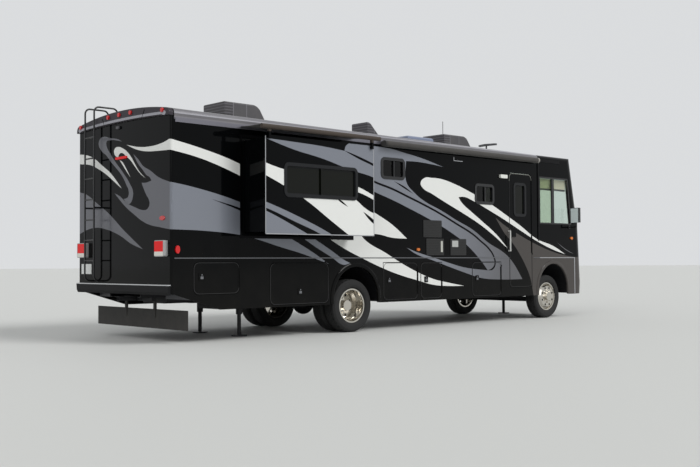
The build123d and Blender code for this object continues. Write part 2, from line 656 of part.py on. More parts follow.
def storage_hinge(door):
    """The hinge of a storage door, as the door's barrel and the skirt's ears."""
    if door["hinge"] == "top":
        return level_hinge(door["side"], door["z1"] - PANEL_GAP / 2, door["x0"] + 60, door["x1"] - 60)
    return upright_hinge(door["side"], door["x1"] - PANEL_GAP / 2, door["z0"] + 60, door["z1"] - 60)


def storage_door(door):
    side = door["side"]
    gap = PANEL_GAP
    outline = rounded(door["x0"] + gap, door["x1"] - gap, door["z0"] + gap, door["z1"] - gap, DOOR_CORNER - gap)
    leaf = side_slab(outline, side, SIDE_FACE - SKIRT_THICKNESS, SIDE_FACE)
    leaf += storage_hinge(door)[0]
    if door["hinge"] == "top":
        lx, lz = (door["x0"] + door["x1"]) / 2, door["z0"] + 190
    else:
        lx, lz = door["x0"] + 136, (door["z0"] + door["z1"]) / 2 + 20
    w, h = LATCH_HALF_WIDTH, LATCH_HALF_HEIGHT
    leaf += side_slab(rounded(lx - w, lx + w, lz - h, lz + h, 12), side, SIDE_FACE - 2, SIDE_FACE + 6)
    return leaf


# Rear cap: the crowned rear wall with round outer edges
def rear_cap():
    outline = body_outline(0, REAR_SKIRT_Z)
    wall = cross_slab(outline, 0, REAR_WALL_THICKNESS)
    rear_edges = wall.faces().sort_by(Axis.X)[0].edges()
    bottom_edge = rear_edges.sort_by(Axis.Z)[0]
    rounded_edges = [edge for edge in rear_edges if edge.center().Z > bottom_edge.center().Z + 1]
    return fillet(rounded_edges, REAR_EDGE_RADIUS)


# Brow moulding across the top of the rear cap, arched underneath
BROW_DEPTH = 40
BROW_END_Z, BROW_MIDDLE_Z = 3098, 3133


def rear_brow():
    half = SIDE_FACE + 5
    under = ThreePointArc((-half, BROW_END_Z), (0, BROW_MIDDLE_Z), (half, BROW_END_Z))
    below = make_face(under + Polyline((half, BROW_END_Z), (half, WALL_TOP - 50), (-half, WALL_TOP - 50),
                                       (-half, BROW_END_Z)))
    brow = cross_slab(body_outline(0, WALL_TOP) - below, -BROW_DEPTH, REAR_EDGE_RADIUS)
    brow = fillet(brow.faces().sort_by(Axis.X)[0].edges(), 14)
    return brow - rear_cap()


# Front cap: the moulded nose with openings for windshield, cab windows, grille and lamps
def yz_opening(feature):
    """A round-cornered opening across the front, given by its half width or its two sides."""
    if "half_width" in feature:
        return rounded(-feature["half_width"], feature["half_width"], feature["z0"], feature["z1"],
                       feature["corner"])
    one = rounded(feature["y0"], feature["y1"], feature["z0"], feature["z1"], feature["corner"])
    return one + mirror(one, Plane.YZ)


def front_cap():
    shell = front_form(0) - front_form(CAP_THICKNESS, overrun=60)
    shell -= block(CAB_SEAM - 50, FENDER_END, -SIDE_FACE - 10, SIDE_FACE + 10, SKIRT_Z - 50, BELT_Z)
    for feature in (WINDSHIELD, GRILLE, HEADLAMP, LOWER_INTAKE):
        shell -= cross_slab(yz_opening(feature), FENDER_END - 350, NOSE_STATION + 50)
    hole = cab_window_outline(-CAB_LIP)
    shell -= side_slab(hole, LEFT, -SIDE_FACE - 20, SIDE_FACE + 20)
    return shell


def nose_skin(feature, depth0, depth1, shrink=0):
    """A skin that follows the nose inside an opening, from one depth to another."""
    small = dict(feature)
    for key, change in (("half_width", -shrink), ("y0", shrink), ("y1", -shrink), ("z0", shrink), ("z1", -shrink)):
        if key in small:
            small[key] += change
    skin = front_form(depth0) - front_form(depth1, overrun=60)
    return skin & cross_slab(yz_opening(small), FENDER_END - 350, NOSE_STATION + 50)


# Roof: the crowned skin over the living space
def roof():
    inside = body_run(ROOF_THICKNESS, WALL_TOP - 10, REAR_WALL_THICKNESS - 10, CAB_SEAM + 10)
    return body_run(0, WALL_TOP, REAR_WALL_THICKNESS, CAB_SEAM) - inside


def grille():
    bars = None
    pitch = (GRILLE["z1"] - GRILLE["z0"]) / GRILLE["bars"]
    skin = front_form(12) - front_form(30, overrun=60)
    for row in range(GRILLE["bars"]):
        z = GRILLE["z0"] + pitch * (row + 0.5)
        bars_one = block(FENDER_END, NOSE_STATION + 50, -GRILLE["half_width"] + SEAL, GRILLE["half_width"] - SEAL,
                         z - pitch * 0.28, z + pitch * 0.28)
        bars = bars_one if bars is None else bars + bars_one
    for share in (-0.5, 0, 0.5):
        y = share * GRILLE["half_width"]
        bars += block(FENDER_END, NOSE_STATION + 50, y - 9, y + 9, GRILLE["z0"] + SEAL, GRILLE["z1"] - SEAL)
    return skin & bars & cross_slab(yz_opening(dict(GRILLE, half_width=GRILLE["half_width"] - SEAL)),
                                    FENDER_END, NOSE_STATION + 50)


# Windows that belong to the fixed body
def fixed_windows():
    frames, panes = None, None
    for window in WINDOWS:
        frame, pane = framed_window(lambda grow, w=window: window_outline(w, grow), window["side"], SIDE_FACE,
                                    WALL_THICKNESS, window["mullion"], window["z0"], window["z1"])
        frames = frame if frames is None else frames + frame
        panes = pane if panes is None else panes + pane
    for side in BOTH_SIDES:
        frame, pane = framed_window(cab_window_outline, side, SIDE_FACE, CAP_THICKNESS, CAB_WINDOW["mullion"],
                                    CAB_WINDOW["z0"], CAB_WINDOW["z1"], CAB_LIP, CAB_WINDOW["mullion_half"])
        frames += frame
        panes += pane
    return frames, panes


# Slide-out room: fascia, hollow box, window opening and the roller of its topper awning
def slide_room(slide):
    side, x0, x1 = slide["side"], slide["x0"], slide["x1"]
    face = SIDE_FACE + SLIDE_REACH
    back = face - SLIDE_FASCIA
    tuck = SIDE_FACE - WALL_THICKNESS - SLIDE_TUCK
    fascia = side_block(side, x0, x1, back, face, SLIDE_Z0, SLIDE_Z1)
    f, w = SLIDE_FLANGE, SLIDE_WALL
    room = side_block(side, x0 + f, x1 - f, tuck, back, SLIDE_Z0 + f, SLIDE_Z1 - f)
    room -= side_block(side, x0 + f + w, x1 - f - w, tuck - 10, back, SLIDE_Z0 + f + w, SLIDE_Z1 - f - w)
    room += fascia
    room -= side_slab(window_outline(slide["window"], -FRAME_LIP), side, back - 10, face + 10)
    roller_d = face + TOPPER_RADIUS + 6
    roller_z = SLIDE_Z1 + TOPPER_RISE
    room += rod((x0 - TOPPER_OVERHANG, side * roller_d, roller_z), (x1 + TOPPER_OVERHANG, side * roller_d, roller_z),
                TOPPER_RADIUS)
    for x in (x0 + 60, x1 - 60):
        room += side_block(side, x - 20, x + 20, face - 1, roller_d, SLIDE_Z1 - 60, roller_z - 10)
    return room


def slide_window(slide):
    window = slide["window"]
    frame, pane = framed_window(lambda grow: window_outline(window, grow), slide["side"], SIDE_FACE + SLIDE_REACH,
                                SLIDE_FASCIA, window["mullion"], window["z0"], window["z1"])
    return frame + pane


# Entry door with its window, lock and hinge barrel
def entry_door():
    face = SIDE_FACE
    leaf = side_slab(window_outline(DOOR, -PANEL_GAP), RIGHT, face - DOOR_THICKNESS, face)
    leaf -= side_slab(window_outline(DOOR_WINDOW, -FRAME_LIP), RIGHT, face - DOOR_THICKNESS - 10, face + 10)
    barrel, ears = upright_hinge(RIGHT, DOOR["x1"] - PANEL_GAP / 2, BELT_Z + 60, DOOR["z1"] - 80)
    leaf += barrel
    leaf += side_block(RIGHT, DOOR["x0"] + 60, DOOR["x0"] + 190, face - 1, face + 12, 1560, 1690)
    return leaf


def entry_door_window():
    frame, pane = framed_window(lambda grow: window_outline(DOOR_WINDOW, grow), RIGHT, SIDE_FACE, DOOR_THICKNESS,
                                DOOR_WINDOW["x1"] - 60, DOOR_WINDOW["z0"] + 40, DOOR_WINDOW["z0"] + 140)
    return frame + pane


# Steps: a stair box under the deck behind the entry door
def entry_step():
    outside = SIDE_FACE - WALL_THICKNESS - 8
    inside = SIDE_FACE - SKIRT_THICKNESS - STAIR_DEPTH
    x0, x1 = DOOR["x0"] - 20, DOOR["x1"] + 20
    low = DOOR["z0"] - STAIR_WALL
    box = side_block(RIGHT, x0, x1, inside, outside, low, DECK_Z)
    box -= side_block(RIGHT, x0 + STAIR_WALL, x1 - STAIR_WALL, inside + STAIR_WALL, outside + 10,
                      DOOR["z0"], DECK_Z + 10)
    tread_in = inside + STAIR_DEPTH * 0.45
    middle = (DOOR["z0"] + DECK_Z) / 2
    box += side_block(RIGHT, x0, x1, inside, tread_in, middle - STAIR_WALL, middle)
    box += side_block(RIGHT, x0, x1, tread_in - STAIR_WALL, tread_in, low, middle)
    return box


# Mouldings: belt lines, roof edge rails, cab seam strip, fender strip and a trim frame round each slide-out
TRIM_GAP = 8
TRIM_WIDTH = 38


def mouldings():
    strips = None
    for side in BOTH_SIDES:
        for z0, z1, proud, x0, x1 in ((BELT_Z - 7, BELT_Z + 7, 5, REAR_WALL_THICKNESS, FENDER_END),
                                      (WALL_TOP - 40, WALL_TOP + 20, 12, REAR_WALL_THICKNESS + 10, CAB_SEAM + 700)):
            runs = [(x0, x1)]
            if side == RIGHT and z0 < BELT_Z:
                runs = [(x0, DOOR["x0"] - 8), (DOOR["x1"] + 45, x1)]
            for a, b in runs:
                strip = side_block(side, a, b, SIDE_FACE, SIDE_FACE + proud, z0, z1)
                strips = strip if strips is None else strips + strip
        strips += side_block(side, CAB_SEAM - 22, CAB_SEAM + 22, SIDE_FACE, SIDE_FACE + 14, 1500, WALL_TOP - 40)
        strips += side_block(side, FENDER_END - 28, FENDER_END - 4, SIDE_FACE, SIDE_FACE + 5, SKIRT_Z + 8, BELT_Z - 7)
    for slide in SLIDES:
        opening = Pos((slide["x0"] + slide["x1"]) / 2, (SLIDE_Z0 + SLIDE_Z1) / 2)
        width, height = slide["x1"] - slide["x0"] + 2 * TRIM_GAP, SLIDE_Z1 - SLIDE_Z0 + 2 * TRIM_GAP
        ring = Rectangle(width + 2 * TRIM_WIDTH, height + 2 * TRIM_WIDTH) - Rectangle(width, height)
        strips += side_slab(opening * ring, slide["side"], SIDE_FACE, SIDE_FACE + 6)
    return strips


# Rear bumper under its bright ledge
def rear_bumper():
    half = SIDE_FACE - 12
    outline = make_face(Polyline((-45, LEDGE_Z - 14), (0, LEDGE_Z - 14), (0, BUMPER_Z), (-20, BUMPER_Z),
                                 (-40, BUMPER_Z + 40), close=True))
    bumper = side_slab(outline, LEFT, -half, half)
    return bumper + block(-50, 0, -half, half, LEDGE_Z - 14, LEDGE_Z)


# Tail lamps, brake lamp bar and marker lamps
TAIL_LAMP = {"middle": 1100, "half": 115, "z0": 1195, "z1": 1415, "depth": 70}


def tail_lamps():
    lamps = None
    for side in BOTH_SIDES:
        m, h = TAIL_LAMP["middle"], TAIL_LAMP["half"]
        y0, y1 = sorted((side * (m - h), side * (m + h)))
        lamp = cross_slab(rounded(y0, y1, TAIL_LAMP["z0"], TAIL_LAMP["z1"], 22), -TAIL_LAMP["depth"], 0)
        lamps = lamp if lamps is None else lamps + lamp
    lamps += cross_slab(rounded(-155, 155, 2605, 2640, 12), -22, 0)
    return lamps


# Marker lamps: on the brow by distance from the centre plane and height, on the sides by station,
# height and the lens's half width and half height
ROOF_MARKERS = ((0, 3238), (315, 3236), (-315, 3236), (1150, 3176), (-1150, 3176))
SIDE_MARKERS = ((95, 1288, 34, 54), (4819, 1311, 36, 25), (9276, 1558, 38, 27))
MARKER_RADIUS = 31
MARKER_DEPTH = 22


def marker_lamps():
    lamps = None
    for y, z in ROOF_MARKERS:
        lamp = rod((-BROW_DEPTH - MARKER_DEPTH, y, z), (-BROW_DEPTH, y, z), MARKER_RADIUS)
        lamps = lamp if lamps is None else lamps + lamp
    for side in BOTH_SIDES:
        for x, z, half_width, half_height in SIDE_MARKERS:
            lamps += side_slab(Pos(x, z) * Ellipse(half_width, half_height), side, SIDE_FACE,
                               SIDE_FACE + MARKER_DEPTH)
    return lamps


# Ladder on the left of the rear wall, with hoops over the roof edge
LADDER_INNER, LADDER_OUTER = 566, 841
LADDER_TUBE = 13
LADDER_REACH = TAIL_REACH - LADDER_TUBE
LADDER_RUNGS = (1150, 1450, 1750, 2050, 2360, 2660, 2970)
LADDER_BOTTOM = 850
LADDER_STAND_OFF_Z = 1930
LADDER_TOP = 3420
ROOF_LANDING = 3290


def ladder():
    frame = None
    for y in (LADDER_INNER, LADDER_OUTER):
        path = FilletPolyline((0, y, LADDER_BOTTOM), (-LADDER_REACH, y, LADDER_BOTTOM), (-LADDER_REACH, y, LADDER_TOP),
                              (250, y, LADDER_TOP), (250, y, ROOF_LANDING), radius=80)
        rail = sweep(Plane(origin=path @ 0, z_dir=path % 0) * Circle(LADDER_TUBE), path=path)
        frame = rail if frame is None else frame + rail
        frame += rod((-LADDER_REACH, y, LADDER_STAND_OFF_Z), (0, y, LADDER_STAND_OFF_Z), LADDER_TUBE)
    for z in LADDER_RUNGS:
        frame += rod((-LADDER_REACH, LADDER_INNER, z), (-LADDER_REACH, LADDER_OUTER, z), LADDER_TUBE - 2)
    frame -= block(0, 400, 0, SIDE_FACE, LADDER_BOTTOM - 100, WALL_TOP)
    return frame - body_run(-0.3, WALL_TOP - 50, -1, 400)


# Roof units: rear station, length, half width, base height, top height
ROOF_UNITS = [
    {"x0": 1600, "length": 860, "half_width": 280, "top": 3590, "nose": 0.24, "radius": 190},
    {"x0": 4720, "length": 400, "half_width": 200, "top": 3572, "nose": 0.82, "radius": 120},
    {"x0": 6660, "length": 840, "half_width": 280, "top": 3520, "nose": 0.24, "radius": 170},
]
ROOF_VENTS = [
    {"x0": 820, "x1": 1180, "half_width": 190, "top": 3385},
    {"x0": 5640, "x1": 6330, "half_width": 300, "top": 3405},
]
ANTENNA_STATION = 7410
ANTENNA_TOP = 3900


def roof_units():
    units = None
    base = ROOF_EDGE_Z - 30
    for unit in ROOF_UNITS:
        x0, x1, top = unit["x0"], unit["x0"] + unit["length"], unit["top"]
        slope = x1 - unit["nose"] * unit["length"]
        outline = make_face(Polyline((x0, base), (x1, base), (x1, base + 90), (slope, top), (x0 + 12, top),
                                     (x0, top - 12), close=True))
        shoulder = outline.vertices().sort_by_distance(Vector(slope, top, 0))[0]
        outline = fillet(shoulder, unit["radius"])
        shell = side_slab(outline, LEFT, -unit["half_width"], unit["half_width"])
        tops = shell.edges().filter_by(Axis.X).sort_by(Axis.Z)[-2:]
        shell = fillet(tops, 25)
        units = shell if units is None else units + shell
    for vent in ROOF_VENTS:
        lid = block(vent["x0"], vent["x1"], -vent["half_width"], vent["half_width"], base, vent["top"])
        tops = lid.faces().sort_by(Axis.Z)[-1].edges()
        units += fillet(tops, 45)
    units += rod((ANTENNA_STATION, 420, base), (ANTENNA_STATION, 420, ROOF_TOP_Z + 40), 45)
    units += rod((ANTENNA_STATION, 420, base), (ANTENNA_STATION, 420, ANTENNA_TOP), 6)
    return units - body_run(0, WALL_TOP - 50, 300, CAB_SEAM)


# Patio awning: a long case on the right wall with rounded lower edge
AWNING = {"x0": 3960, "x1": 8100, "z0": 2975, "z1": 3070, "depth": 118}


def awning():
    face = SIDE_FACE
    a = AWNING
    outline = rounded(face + 12, face + 12 + a["depth"], a["z0"], a["z1"], 44)
    case = cross_slab(mirror(outline, Plane.YZ), a["x0"], a["x1"])
    for x in (a["x0"] + 60, (a["x0"] + a["x1"]) / 2, a["x1"] - 60):
        case += side_block(RIGHT, x - 25, x + 25, face + 12, face + 70, a["z1"] - 60, a["z1"] - 10)
    return case


# Mirrors on arms from the front cap
MIRROR = {"x": 9190, "distance": SIDE_FACE + 175, "z0": 1860, "z1": 2150, "half_width": 95, "depth": 90}


def mirrors():
    both = None
    m = MIRROR
    for side in BOTH_SIDES:
        y = side * m["distance"]
        head = Pos(m["x"], y, (m["z0"] + m["z1"]) / 2) * Box(m["depth"], 2 * m["half_width"], m["z1"] - m["z0"])
        head = fillet(head.faces().sort_by(Axis.X)[-1].edges(), 30)
        arm_z = m["z0"] - 85
        arm = rod((m["x"] + 20, side * (SIDE_FACE - 14), arm_z), (m["x"] + 20, y, arm_z), 14)
        arm += rod((m["x"] + 20, y, arm_z - 14), (m["x"] + 20, y, m["z0"] + 20), 14)
        arm += rod((m["x"] + 20, side * SIDE_FACE, arm_z), (m["x"] + 20, side * (SIDE_FACE + 14), arm_z), 32)
        arm -= block(m["x"] - 60, m["x"] + 90, side * (SIDE_FACE - 40), side * SIDE_FACE, arm_z - 60, arm_z + 60)
        mirror_one = head + arm
        both = mirror_one if both is None else both + mirror_one
    return both


# Levelling jacks, lowered on to their feet
JACK_STATIONS = (1690, 9420)
JACK_MIDDLE = 520


def levelling_jacks():
    legs = None
    for side in BOTH_SIDES:
        for x in JACK_STATIONS:
            y = side * JACK_MIDDLE
            leg = rod((x, y, 330), (x, y, 850), 48)
            leg += rod((x, y, 16), (x, y, 335), 30)
            leg += rod((x, y, 0), (x, y, 18), 120)
            leg += side_block(side, x - 60, x + 60, RAIL_OUTSIDE, JACK_MIDDLE, RAIL_BOTTOM + 10, RAIL_BOTTOM + 200)
            legs = leg if legs is None else legs + leg
    return legs


# Rock guard: a full-width flap hung behind the rear wheels
GUARD = {"x": 300, "half_width": 1240, "z0": 180, "z1": 455}


def rock_guard():
    g = GUARD
    flap = block(g["x"], g["x"] + 8, -g["half_width"], g["half_width"], g["z0"], g["z1"])
    for side in BOTH_SIDES:
        flap += side_block(side, g["x"] - 8, g["x"] + 20, RAIL_OUTSIDE - 60, RAIL_OUTSIDE - 10, g["z1"] - 120,
                           RECEIVER_Z - RECEIVER_SIZE / 2)
    return flap


# Tanks between the rails, and the exhaust along the right rail
TANKS = ({"x0": 540, "x1": 1380, "half_width": 335, "z0": 520},
         {"x0": 1520, "x1": 2680, "half_width": 335, "z0": 400})
EXHAUST_DISTANCE = 505
EXHAUST_Z = 700


def tanks():
    group = None
    ceiling = RAIL_BOTTOM + RAIL_HEIGHT - CROSSMEMBER_HEIGHT
    web = RAIL_OUTSIDE - RAIL_WALL
    for tank in TANKS:
        body = block(tank["x0"], tank["x1"], -tank["half_width"], tank["half_width"], tank["z0"], ceiling)
        body = fillet(body.edges().filter_by(Axis.X), 50)
        for x in (tank["x0"] + 150, tank["x1"] - 150):
            body += block(x - 25, x + 25, -web, web, ceiling - 30, ceiling)
        group = body if group is None else group + body
    y = -EXHAUST_DISTANCE
    pipe = rod((4450, y, EXHAUST_Z), (7250, y, EXHAUST_Z), 32) + rod((5300, y, EXHAUST_Z), (6100, y, EXHAUST_Z), 68)
    for x in (4700, 7000):
        pipe += side_block(RIGHT, x - 20, x + 20, RAIL_OUTSIDE, EXHAUST_DISTANCE, EXHAUST_Z - 10, EXHAUST_Z + 10)
    return group + pipe


# Service covers on the side walls: ends, bottom, top, side
SERVICE_COVERS = [
    {"side": RIGHT, "x0": 4953, "x1": 5417, "z0": 1520, "z1": 1810},
    {"side": RIGHT, "x0": 5024, "x1": 5470, "z0": 1215, "z1": 1500},
    {"side": RIGHT, "x0": 5640, "x1": 6060, "z0": 1215, "z1": 1500},
    {"side": LEFT, "x0": 3500, "x1": 3960, "z0": 1220, "z1": 1500},
    {"side": LEFT, "x0": 7420, "x1": 7880, "z0": 1260, "z1": 1560},
]
PORCH_LIGHT = {"x0": 7014, "x1": 7214, "z0": 2634, "z1": 2699}


def service_hatches():
    covers = None
    for cover in SERVICE_COVERS:
        outline = rounded(cover["x0"], cover["x1"], cover["z0"], cover["z1"], 15)
        one = side_slab(outline, cover["side"], SIDE_FACE, SIDE_FACE + 8)
        covers = one if covers is None else covers + one
    lamp = rounded(PORCH_LIGHT["x0"], PORCH_LIGHT["x1"], PORCH_LIGHT["z0"], PORCH_LIGHT["z1"], 20)
    covers += side_slab(lamp, RIGHT, SIDE_FACE, SIDE_FACE + 40)
    handle = rod((7258, -SIDE_FACE - 55, 1290), (7258, -SIDE_FACE - 55, 1670), 14)
    for z in (1300, 1660):
        handle += rod((7258, -SIDE_FACE, z), (7258, -SIDE_FACE - 55, z), 14)
    return covers + handle


# Cab: dashboard with steering wheel, and two seats
DASH_BACK = 8960


def dashboard():
    rest = DECK_TOP + COVER_HEIGHT
    outline = make_face(Polyline((DASH_BACK, rest + 230), (DASH_BACK, rest), (9330, rest), (9330, rest - 80),
                                 (9480, rest - 80), (9500, rest + 10), (9230, rest + 270), close=True))
    dash = side_slab(outline, LEFT, -1150, 1150)
    hub = (8890, 600, DECK_TOP + 560)
    base = (DASH_BACK + 60, 600, DECK_TOP + 380)
    column = rod(hub, base, 30)
    facing = Vector(*hub) - Vector(*base)
    wheel = Plane(origin=hub, z_dir=facing) * Torus(215, 15)
    spoke = Plane(origin=hub, z_dir=facing) * Box(420, 30, 14)
    return dash + column + wheel + spoke


SEATS = ({"y": 640}, {"y": -640})
SEAT_STATION = 8130


def cab_seats():
    seats = None
    for seat in SEATS:
        y, x = seat["y"], SEAT_STATION
        cushion = Pos(x + 250, y, DECK_TOP + 400) * Box(500, 500, 130)
        cushion = fillet(cushion.edges(), 35)
        back = Pos(x + 20, y, DECK_TOP + 760) * Rot(0, -10, 0) * Box(130, 480, 680)
        back = fillet(back.edges(), 35)
        base = block(x + 60, x + 420, y - 180, y + 180, DECK_TOP, DECK_TOP + 345)
        one = cushion + back + base
        seats = one if seats is None else seats + one
    return seats


pieces["chassis_frame"] = chassis_frame()
pieces["driveline"] = driveline()
pieces["front_axle"] = front_axle()
pieces["rear_axle"] = rear_axle()
pieces["tie_rod"] = tie_rod()
for name, side in (("right", RIGHT), ("left", LEFT)):
    pieces["knuckle_" + name] = knuckle(side)
    pieces["front_rim_" + name] = front_rim(side)
    pieces["front_tyre_" + name] = tyre(FRONT_AXLE_STATION, side, FRONT_TRACK_HALF)
    pieces["rear_rims_" + name] = rear_rims(side)
    pieces["rear_tyres_" + name] = (tyre(REAR_AXLE_STATION, side, REAR_TWIN_MIDDLE - TWIN_SPACING / 2)
                                    + tyre(REAR_AXLE_STATION, side, REAR_TWIN_MIDDLE + TWIN_SPACING / 2))
    pieces["side_wall_" + name] = side_wall(side)
pieces["floor_deck"] = floor_deck()
pieces["engine_cover"] = engine_cover()
pieces["storage_bays"] = storage_bays()
pieces["skirt_right"] = skirt(RIGHT)
pieces["skirt_left"] = skirt(LEFT)
pieces["rear_cap"] = rear_cap()
pieces["rear_brow"] = rear_brow()
pieces["front_cap"] = front_cap()
pieces["roof"] = roof()
pieces["windshield"] = nose_skin(WINDSHIELD, 8, 15, SEAL)
pieces["grille"] = grille() + nose_skin(LOWER_INTAKE, 12, 30, SEAL)
pieces["headlamps"] = nose_skin(HEADLAMP, 2, 60, SEAL)
pieces["window_frames"], pieces["window_glass"] = fixed_windows()
for slide in SLIDES:
    pieces["slide_room_" + slide["name"]] = slide_room(slide)
    pieces["slide_window_" + slide["name"]] = slide_window(slide)
for door in STORAGE_DOORS:
    pieces[door["name"]] = storage_door(door)
pieces["entry_door"] = entry_door()
pieces["entry_door_window"] = entry_door_window()
pieces["entry_step"] = entry_step()
pieces["mouldings"] = mouldings()
pieces["rear_bumper"] = rear_bumper()
pieces["tail_lamps"] = tail_lamps()
pieces["marker_lamps"] = marker_lamps()
pieces["ladder"] = ladder()
pieces["roof_units"] = roof_units()
pieces["awning"] = awning()
pieces["mirrors"] = mirrors()
pieces["levelling_jacks"] = levelling_jacks()
pieces["rock_guard"] = rock_guard()
pieces["tanks"] = tanks()
pieces["service_hatches"] = service_hatches()
pieces["dashboard"] = dashboard()
pieces["cab_seats"] = cab_seats()

# The origin is on the ground under the middle of the coach's length
os.makedirs("parts", exist_ok=True)
for name, shape in pieces.items():
    export_step(Pos(-MIDDLE_STATION, 0, 0) * shape, "parts/" + name + ".step")
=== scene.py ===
import json
import math

import bmesh
import bpy
from mathutils import Matrix, Vector


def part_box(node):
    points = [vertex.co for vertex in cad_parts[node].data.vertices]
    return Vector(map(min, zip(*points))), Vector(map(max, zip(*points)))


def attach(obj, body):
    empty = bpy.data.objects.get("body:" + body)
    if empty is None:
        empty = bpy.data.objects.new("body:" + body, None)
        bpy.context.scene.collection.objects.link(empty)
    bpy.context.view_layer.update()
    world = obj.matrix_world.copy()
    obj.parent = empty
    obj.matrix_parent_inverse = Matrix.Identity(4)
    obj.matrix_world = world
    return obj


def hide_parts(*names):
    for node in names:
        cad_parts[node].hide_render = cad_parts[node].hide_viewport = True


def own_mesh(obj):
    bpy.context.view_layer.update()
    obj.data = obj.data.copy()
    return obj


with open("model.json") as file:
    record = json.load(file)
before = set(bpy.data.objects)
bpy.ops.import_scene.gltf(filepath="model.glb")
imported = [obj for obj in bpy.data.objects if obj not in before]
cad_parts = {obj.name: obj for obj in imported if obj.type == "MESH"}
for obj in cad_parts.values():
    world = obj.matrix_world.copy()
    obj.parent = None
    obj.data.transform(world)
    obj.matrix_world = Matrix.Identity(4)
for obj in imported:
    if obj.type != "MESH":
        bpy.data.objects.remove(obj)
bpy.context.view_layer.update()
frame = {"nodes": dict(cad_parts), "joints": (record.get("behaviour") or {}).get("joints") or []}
nodes = frame["nodes"]


# Painted shell: the fixed walls, the doors and the slide-out rooms. Laminated fibreglass panels on
# a frame, bonded at the edges and sprayed with gloss black urethane, polished but never quite flat.
def linear(code):
    """A colour written as sRGB hex, as the linear values that shaders take."""
    channels = [int(code[i:i + 2], 16) / 255 for i in (0, 2, 4)]
    return [c / 12.92 if c <= 0.04045 else ((c + 0.055) / 1.055) ** 2.4 for c in channels] + [1]


def add_node(tree, kind, settings=None):
    """One shader node; a setting is a property, an input's value, or the socket that feeds an input."""
    node = tree.nodes.new("ShaderNode" + kind)
    for name, value in (settings or {}).items():
        if isinstance(value, bpy.types.NodeSocket):
            tree.links.new(value, node.inputs[name])
        elif isinstance(name, int) or name in node.inputs:
            node.inputs[name].default_value = value
        else:
            setattr(node, name, value)
    return node


def on_object(tree, kind, settings=None):
    """A node that is fed with Object coordinates."""
    place = add_node(tree, "TexCoord")
    return add_node(tree, kind, {**(settings or {}), "Vector": place.outputs["Object"]})


def parts_of(made):
    """A material's node tree and its surface shader."""
    return made.node_tree, made.node_tree.nodes["Principled BSDF"]


def finish_named(name, colour, values, relief=None):
    """A material from its shader's colour and values, with the relief that add_bump makes if asked."""
    made = bpy.data.materials.new(name)
    made.use_nodes = True
    shader = parts_of(made)[1]
    shader.inputs["Base Color"].default_value = linear(colour)
    for socket, value in values.items():
        shader.inputs[socket].default_value = value
    if relief:
        add_bump(made, *relief)
    return made


def add_bump(made, texture, scale, detail, strength, depth):
    """Relief on a material from one texture of a scale and detail; depth is in metres."""
    tree, shader = parts_of(made)
    pattern = on_object(tree, texture, {"Scale": scale, "Detail": detail})
    height = pattern.outputs["Fac"] if "Fac" in pattern.outputs else pattern.outputs["Distance"]
    bump = add_node(tree, "Bump", {"Strength": strength, "Distance": depth, "Height": height})
    tree.links.new(bump.outputs["Normal"], shader.inputs["Normal"])


def dress(names, made):
    """Gives CAD nodes this one material."""
    for name in names:
        nodes[name].data.materials.clear()
        nodes[name].data.materials.append(made)


def zone(made, spans):
    """1 inside a box of Object coordinates, given as {axis: (start, end)}, and 0 outside it."""
    tree = parts_of(made)[0]
    axes = on_object(tree, "SeparateXYZ").outputs
    within = None
    for axis, (start, end) in spans.items():
        part = add_node(tree, "Math", {"operation": "COMPARE", 0: axes[axis], 1: (start + end) / 2,
                                       2: (end - start) / 2}).outputs[0]
        if within is not None:
            part = add_node(tree, "Math", {"operation": "MULTIPLY", 0: within, 1: part}).outputs[0]
        within = part
    return within


def lay_over(made, where, colour, values=None):
    """Lays a colour, and other values, over a material inside a zone or as far as a factor goes."""
    tree, shader = parts_of(made)
    factor = zone(made, where) if isinstance(where, dict) else where
    base = shader.inputs["Base Color"]
    under = base.links[0].from_socket if base.is_linked else list(base.default_value)
    mix = add_node(tree, "MixRGB", {"Fac": factor, "Color1": under, "Color2": linear(colour)})
    tree.links.new(mix.outputs["Color"], base)
    for name, value in (values or {}).items():
        socket = shader.inputs[name]
        start = socket.default_value
        blend = add_node(tree, "Math", {"operation": "MULTIPLY_ADD", 0: factor, 1: value - start, 2: start})
        tree.links.new(blend.outputs[0], socket)


def along_axis(tree, axis, values):
    """A ramp along one Object axis, from the values of a Map Range node."""
    spot = on_object(tree, "SeparateXYZ").outputs[axis]
    return add_node(tree, "MapRange", {**values, "Value": spot}).outputs["Result"]


def add_dust(made, colour, patch, most, low_z, high_z):
    """Road dust in soft patches of a size in metres, thickest at a low height and faint at a high one."""
    tree = parts_of(made)[0]
    patches = on_object(tree, "TexNoise", {"Scale": 1 / patch, "Detail": 6.0, "Roughness": 0.6})
    fall = along_axis(tree, "Z", {"From Min": low_z, "From Max": high_z,
                                  "To Min": most, "To Max": most * 0.08})
    amount = add_node(tree, "Math", {"operation": "MULTIPLY", 0: patches.outputs["Fac"], 1: fall})
    lay_over(made, amount.outputs[0], colour)


PANEL_WAVE_PITCH = 0.7
ROAD_DUST = "5b5650"


def sprayed(name, colour, gloss):
    """Two-pack paint on laminated panels: a clear gloss that wanders a little, dusty near the road."""
    made = finish_named(name, colour,
                        {"Roughness": gloss, "IOR": 1.17, "Coat Weight": 0.02, "Coat Roughness": 0.02},
                        ("TexNoise", 1 / PANEL_WAVE_PITCH, 1.0, 0.25, 0.004))
    add_dust(made, ROAD_DUST, 0.35, 0.07, 0.45, 1.9)
    return made


